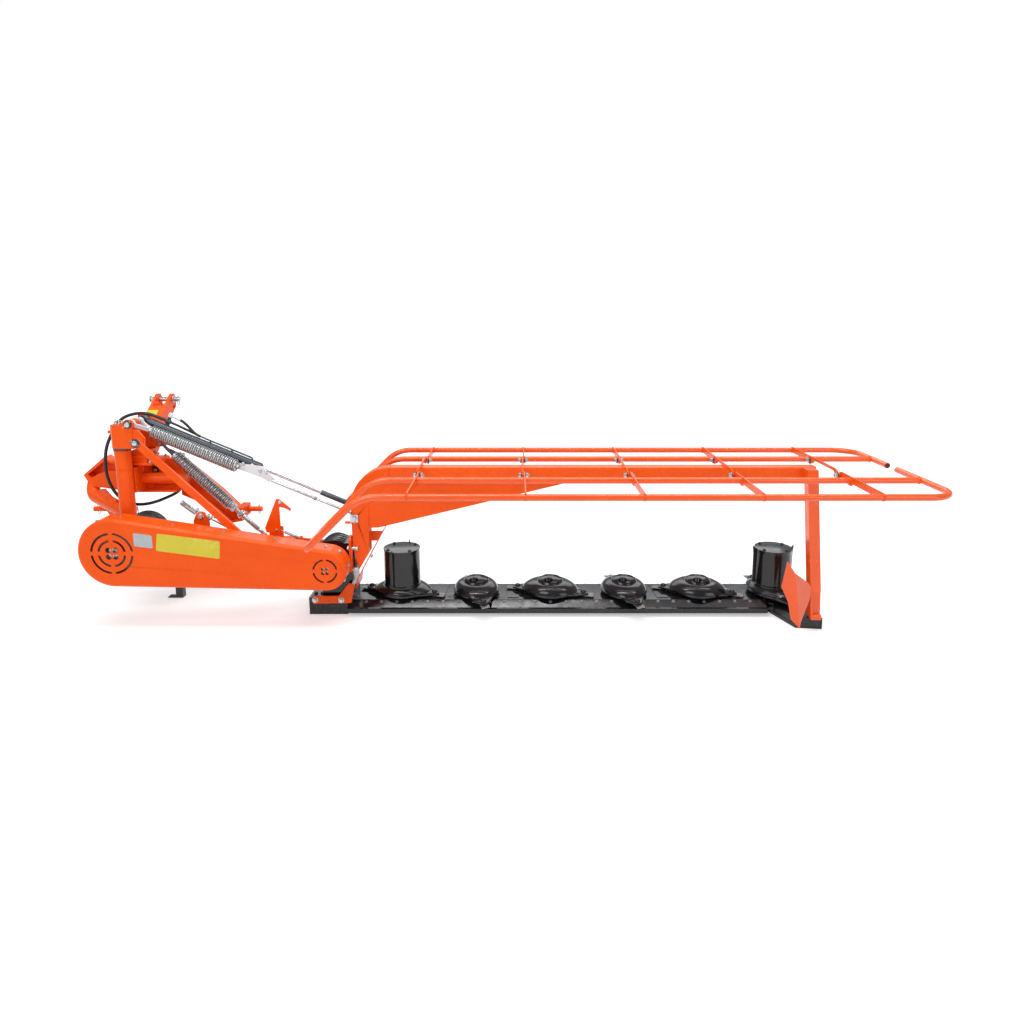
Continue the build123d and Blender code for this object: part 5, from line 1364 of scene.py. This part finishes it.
bm = bmesh.new()
TOP_PIN = (0.48, 1.1)
for x in (-1.7692, -1.6748):
    side = -1 if x < -1.72 else 1
    pipe(bm, (x, *TOP_PIN), (x + side * 0.004, *TOP_PIN), 0.021, 0.0129, 36)
rod(bm, (-1.803, *TOP_PIN), (-1.797, *TOP_PIN), 0.0175, 32)
loop = [(0.48, 1.122), (0.48, 1.078), (0.486, 1.066), (0.498, 1.064), (0.505, 1.074), (0.5, 1.086)]
loop += [(0.4935, 1.1), (0.497, 1.114), (0.503, 1.122)]
sweep(bm, [(-1.652, *point) for point in loop], 0.0019, 10)
piece("top_pin_clip", bm, "headstock", ZINC)

bm = bmesh.new()
LINK_PIN = (0.43, 0.482)
loop = [(0.43, 0.505), (0.43, 0.462), (0.436, 0.452), (0.449, 0.451), (0.457, 0.461), (0.452, 0.474)]
loop += [(0.4475, 0.484), (0.451, 0.496), (0.457, 0.503)]
for x in (-2.13, -1.9155, -1.222):
    sweep(bm, [(x, *point) for point in loop], 0.0022, 10)
piece("link_pin_clips", bm, "headstock", ZINC)

bm = bmesh.new()
for x in (-2.0528, -1.9448, -1.3168, -1.2748):
    pipe(bm, (x, *LINK_PIN), (x + 0.0016, *LINK_PIN), 0.0215, 0.0145, 36)
weld_ring(bm, (-1.9455, *LINK_PIN), (1, 0, 0), 0.0145, 0.0024)
piece("link_pin_rings", bm, "headstock", ORANGE)

welds(
    "headstock_welds",
    "headstock",
    [
        ((-1.765, 0.1275, 0.8508), (-1.675, 0.1275, 0.8508), 0.003),
        ((-1.765, 0.1275, 0.8128), (-1.675, 0.1275, 0.8128), 0.003),
        ((-1.6745, 0.13, 0.8505), (-1.6745, 0.218, 0.8505), 0.0028),
        ((-1.821, 0.262, 0.645), (-1.821, 0.262, 0.788), 0.003),
        ((-1.652, 0.2895, 0.655), (-1.652, 0.2895, 0.787), 0.003),
        ((-1.5655, 0.2895, 0.655), (-1.5655, 0.2895, 0.78), 0.003),
    ],
    [
        ((-1.7293, 0.1907, 0.7167), (0.999, 0.04, -0.013), 0.03, 0.003, 48),
    ],
)

# Rib along the top of the left elbow
bm = bmesh.new()
rod(bm, (-1.99, 0.23, 0.627), (-1.85, 0.131, 0.602), 0.012, 24, 0.004)
piece("elbow_rib", bm, "headstock", ORANGE)

# Bare yellow plate on the mast's sloping rear face
bm = bmesh.new()
slope = Vector((0, 0.106, 0.072)).normalized()
out = Vector((0, -slope.z, slope.y)) * 0.0012
low = Vector((0, 0.315, 1.026))
outline = []
for x, distance in ((-1.764, 0.01), (-1.702, 0.01), (-1.702, 0.052), (-1.764, 0.052)):
    outline.append(Vector((x, low.y, low.z)) + slope * distance)
prism(bm, outline, out)
piece("plate_mast", bm, "headstock", YELLOW_PLATE, bevel=0.0004)

# ---- outer end

welds(
    "outer_welds",
    "cutter",
    [
        ((1.682, 0.0165, 0.735), (1.682, 0.0165, 0.805), 0.0028),
        ((1.736, 0.0165, 0.735), (1.736, 0.0165, 0.805), 0.0028),
        ((1.602, -0.181, 0.306), (1.634, -0.188, 0.07), 0.0012),
    ],
)
spots = [((x, y, 0.0582), (0, 0, 1)) for x, y in ((1.62, 0.13), (1.62, 0.3), (1.7, 0.13), (1.7, 0.28))]
bolts("outer_shoe_bolts", "cutter", spots, DARK_STEEL, size=0.0075)

# ---- floor, backdrop and light


def stage_material(name, tone, glow, far_glow, near, far):
    """Pale diffuse that looks nearly white to the camera and keeps its shadows near the origin."""
    material = bpy.data.materials.new(name)
    material.use_nodes = True
    tree = material.node_tree
    tree.nodes.clear()
    diffuse = tree.nodes.new("ShaderNodeBsdfDiffuse")
    diffuse.inputs["Color"].default_value = (tone, tone, tone, 1)
    emission = tree.nodes.new("ShaderNodeEmission")
    emission.inputs["Color"].default_value = (1, 1, 1, 1)
    path = tree.nodes.new("ShaderNodeLightPath")
    seen = calculate(tree, "MAXIMUM", path.outputs["Is Camera Ray"], path.outputs["Is Glossy Ray"])
    seen = calculate(tree, "MAXIMUM", seen, path.outputs["Is Transmission Ray"])
    place = tree.nodes.new("ShaderNodeTexCoord")
    reach = tree.nodes.new("ShaderNodeVectorMath")
    reach.operation = "LENGTH"
    tree.links.new(place.outputs["Object"], reach.inputs[0])
    strength = remap(tree, reach.outputs["Value"], near, far, glow, far_glow)
    tree.links.new(calculate(tree, "MULTIPLY", seen, strength), emission.inputs["Strength"])
    both = tree.nodes.new("ShaderNodeAddShader")
    tree.links.new(diffuse.outputs[0], both.inputs[0])
    tree.links.new(emission.outputs[0], both.inputs[1])
    out = tree.nodes.new("ShaderNodeOutputMaterial")
    tree.links.new(both.outputs[0], out.inputs["Surface"])
    return material


FLOOR_REACH = 40
bm = bmesh.new()
corners = [(x * FLOOR_REACH, y * FLOOR_REACH) for x, y in ((-1, -1), (1, -1), (1, 1), (-1, 1))]
plate_xy(bm, corners, -0.01, -0.0005)
mesh = bpy.data.meshes.new("floor")
bm.to_mesh(mesh)
bm.free()
mesh.materials.append(stage_material("floor_pale", tone=0.8, glow=0.42, far_glow=1.0, near=2.6, far=7.0))
floor = bpy.data.objects.new("floor", mesh)
scene.collection.objects.link(floor)

world = bpy.data.worlds.new("studio")
scene.world = world
world.use_nodes = True
tree = world.node_tree
tree.nodes.clear()
path = tree.nodes.new("ShaderNodeLightPath")
seen = calculate(tree, "MAXIMUM", path.outputs["Is Camera Ray"], path.outputs["Is Transmission Ray"])
ambient = tree.nodes.new("ShaderNodeBackground")
ambient.inputs["Color"].default_value = (0.93, 0.96, 1.0, 1)
ambient.inputs["Strength"].default_value = 0.38
white = tree.nodes.new("ShaderNodeBackground")
white.inputs["Color"].default_value = (1, 1, 1, 1)
white.inputs["Strength"].default_value = 1.0
both = tree.nodes.new("ShaderNodeMixShader")
tree.links.new(seen, both.inputs["Fac"])
tree.links.new(ambient.outputs[0], both.inputs[1])
tree.links.new(white.outputs[0], both.inputs[2])
out = tree.nodes.new("ShaderNodeOutputWorld")
tree.links.new(both.outputs[0], out.inputs["Surface"])


def softbox(name, place, target, size, power, colour=(1, 1, 1)):
    lamp = bpy.data.lights.new(name, "AREA")
    lamp.shape = "RECTANGLE"
    lamp.size, lamp.size_y = size
    lamp.energy = power
    lamp.color = colour
    obj = bpy.data.objects.new(name, lamp)
    obj.location = place
    obj.rotation_euler = (Vector(target) - Vector(place)).to_track_quat("-Z", "Y").to_euler()
    scene.collection.objects.link(obj)


softbox("overhead", (0.2, -0.3, 4.6), (0.1, 0.1, 0.4), (6.5, 3.0), 70)
softbox("strip", (0.2, -0.4, 4.2), (0.1, 0.0, 0.4), (6.5, 0.5), 100)
softbox("key", (-2.6, -4.2, 3.4), (-0.2, 0, 0.4), (2.6, 2.2), 84)
softbox("fill", (3.6, -3.6, 2.0), (0.5, 0, 0.4), (2.4, 2.4), 38)
softbox("back", (0.5, 4.6, 3.0), (0.2, 0, 0.5), (6.0, 2.2), 62)

scene.view_settings.view_transform = "Standard"
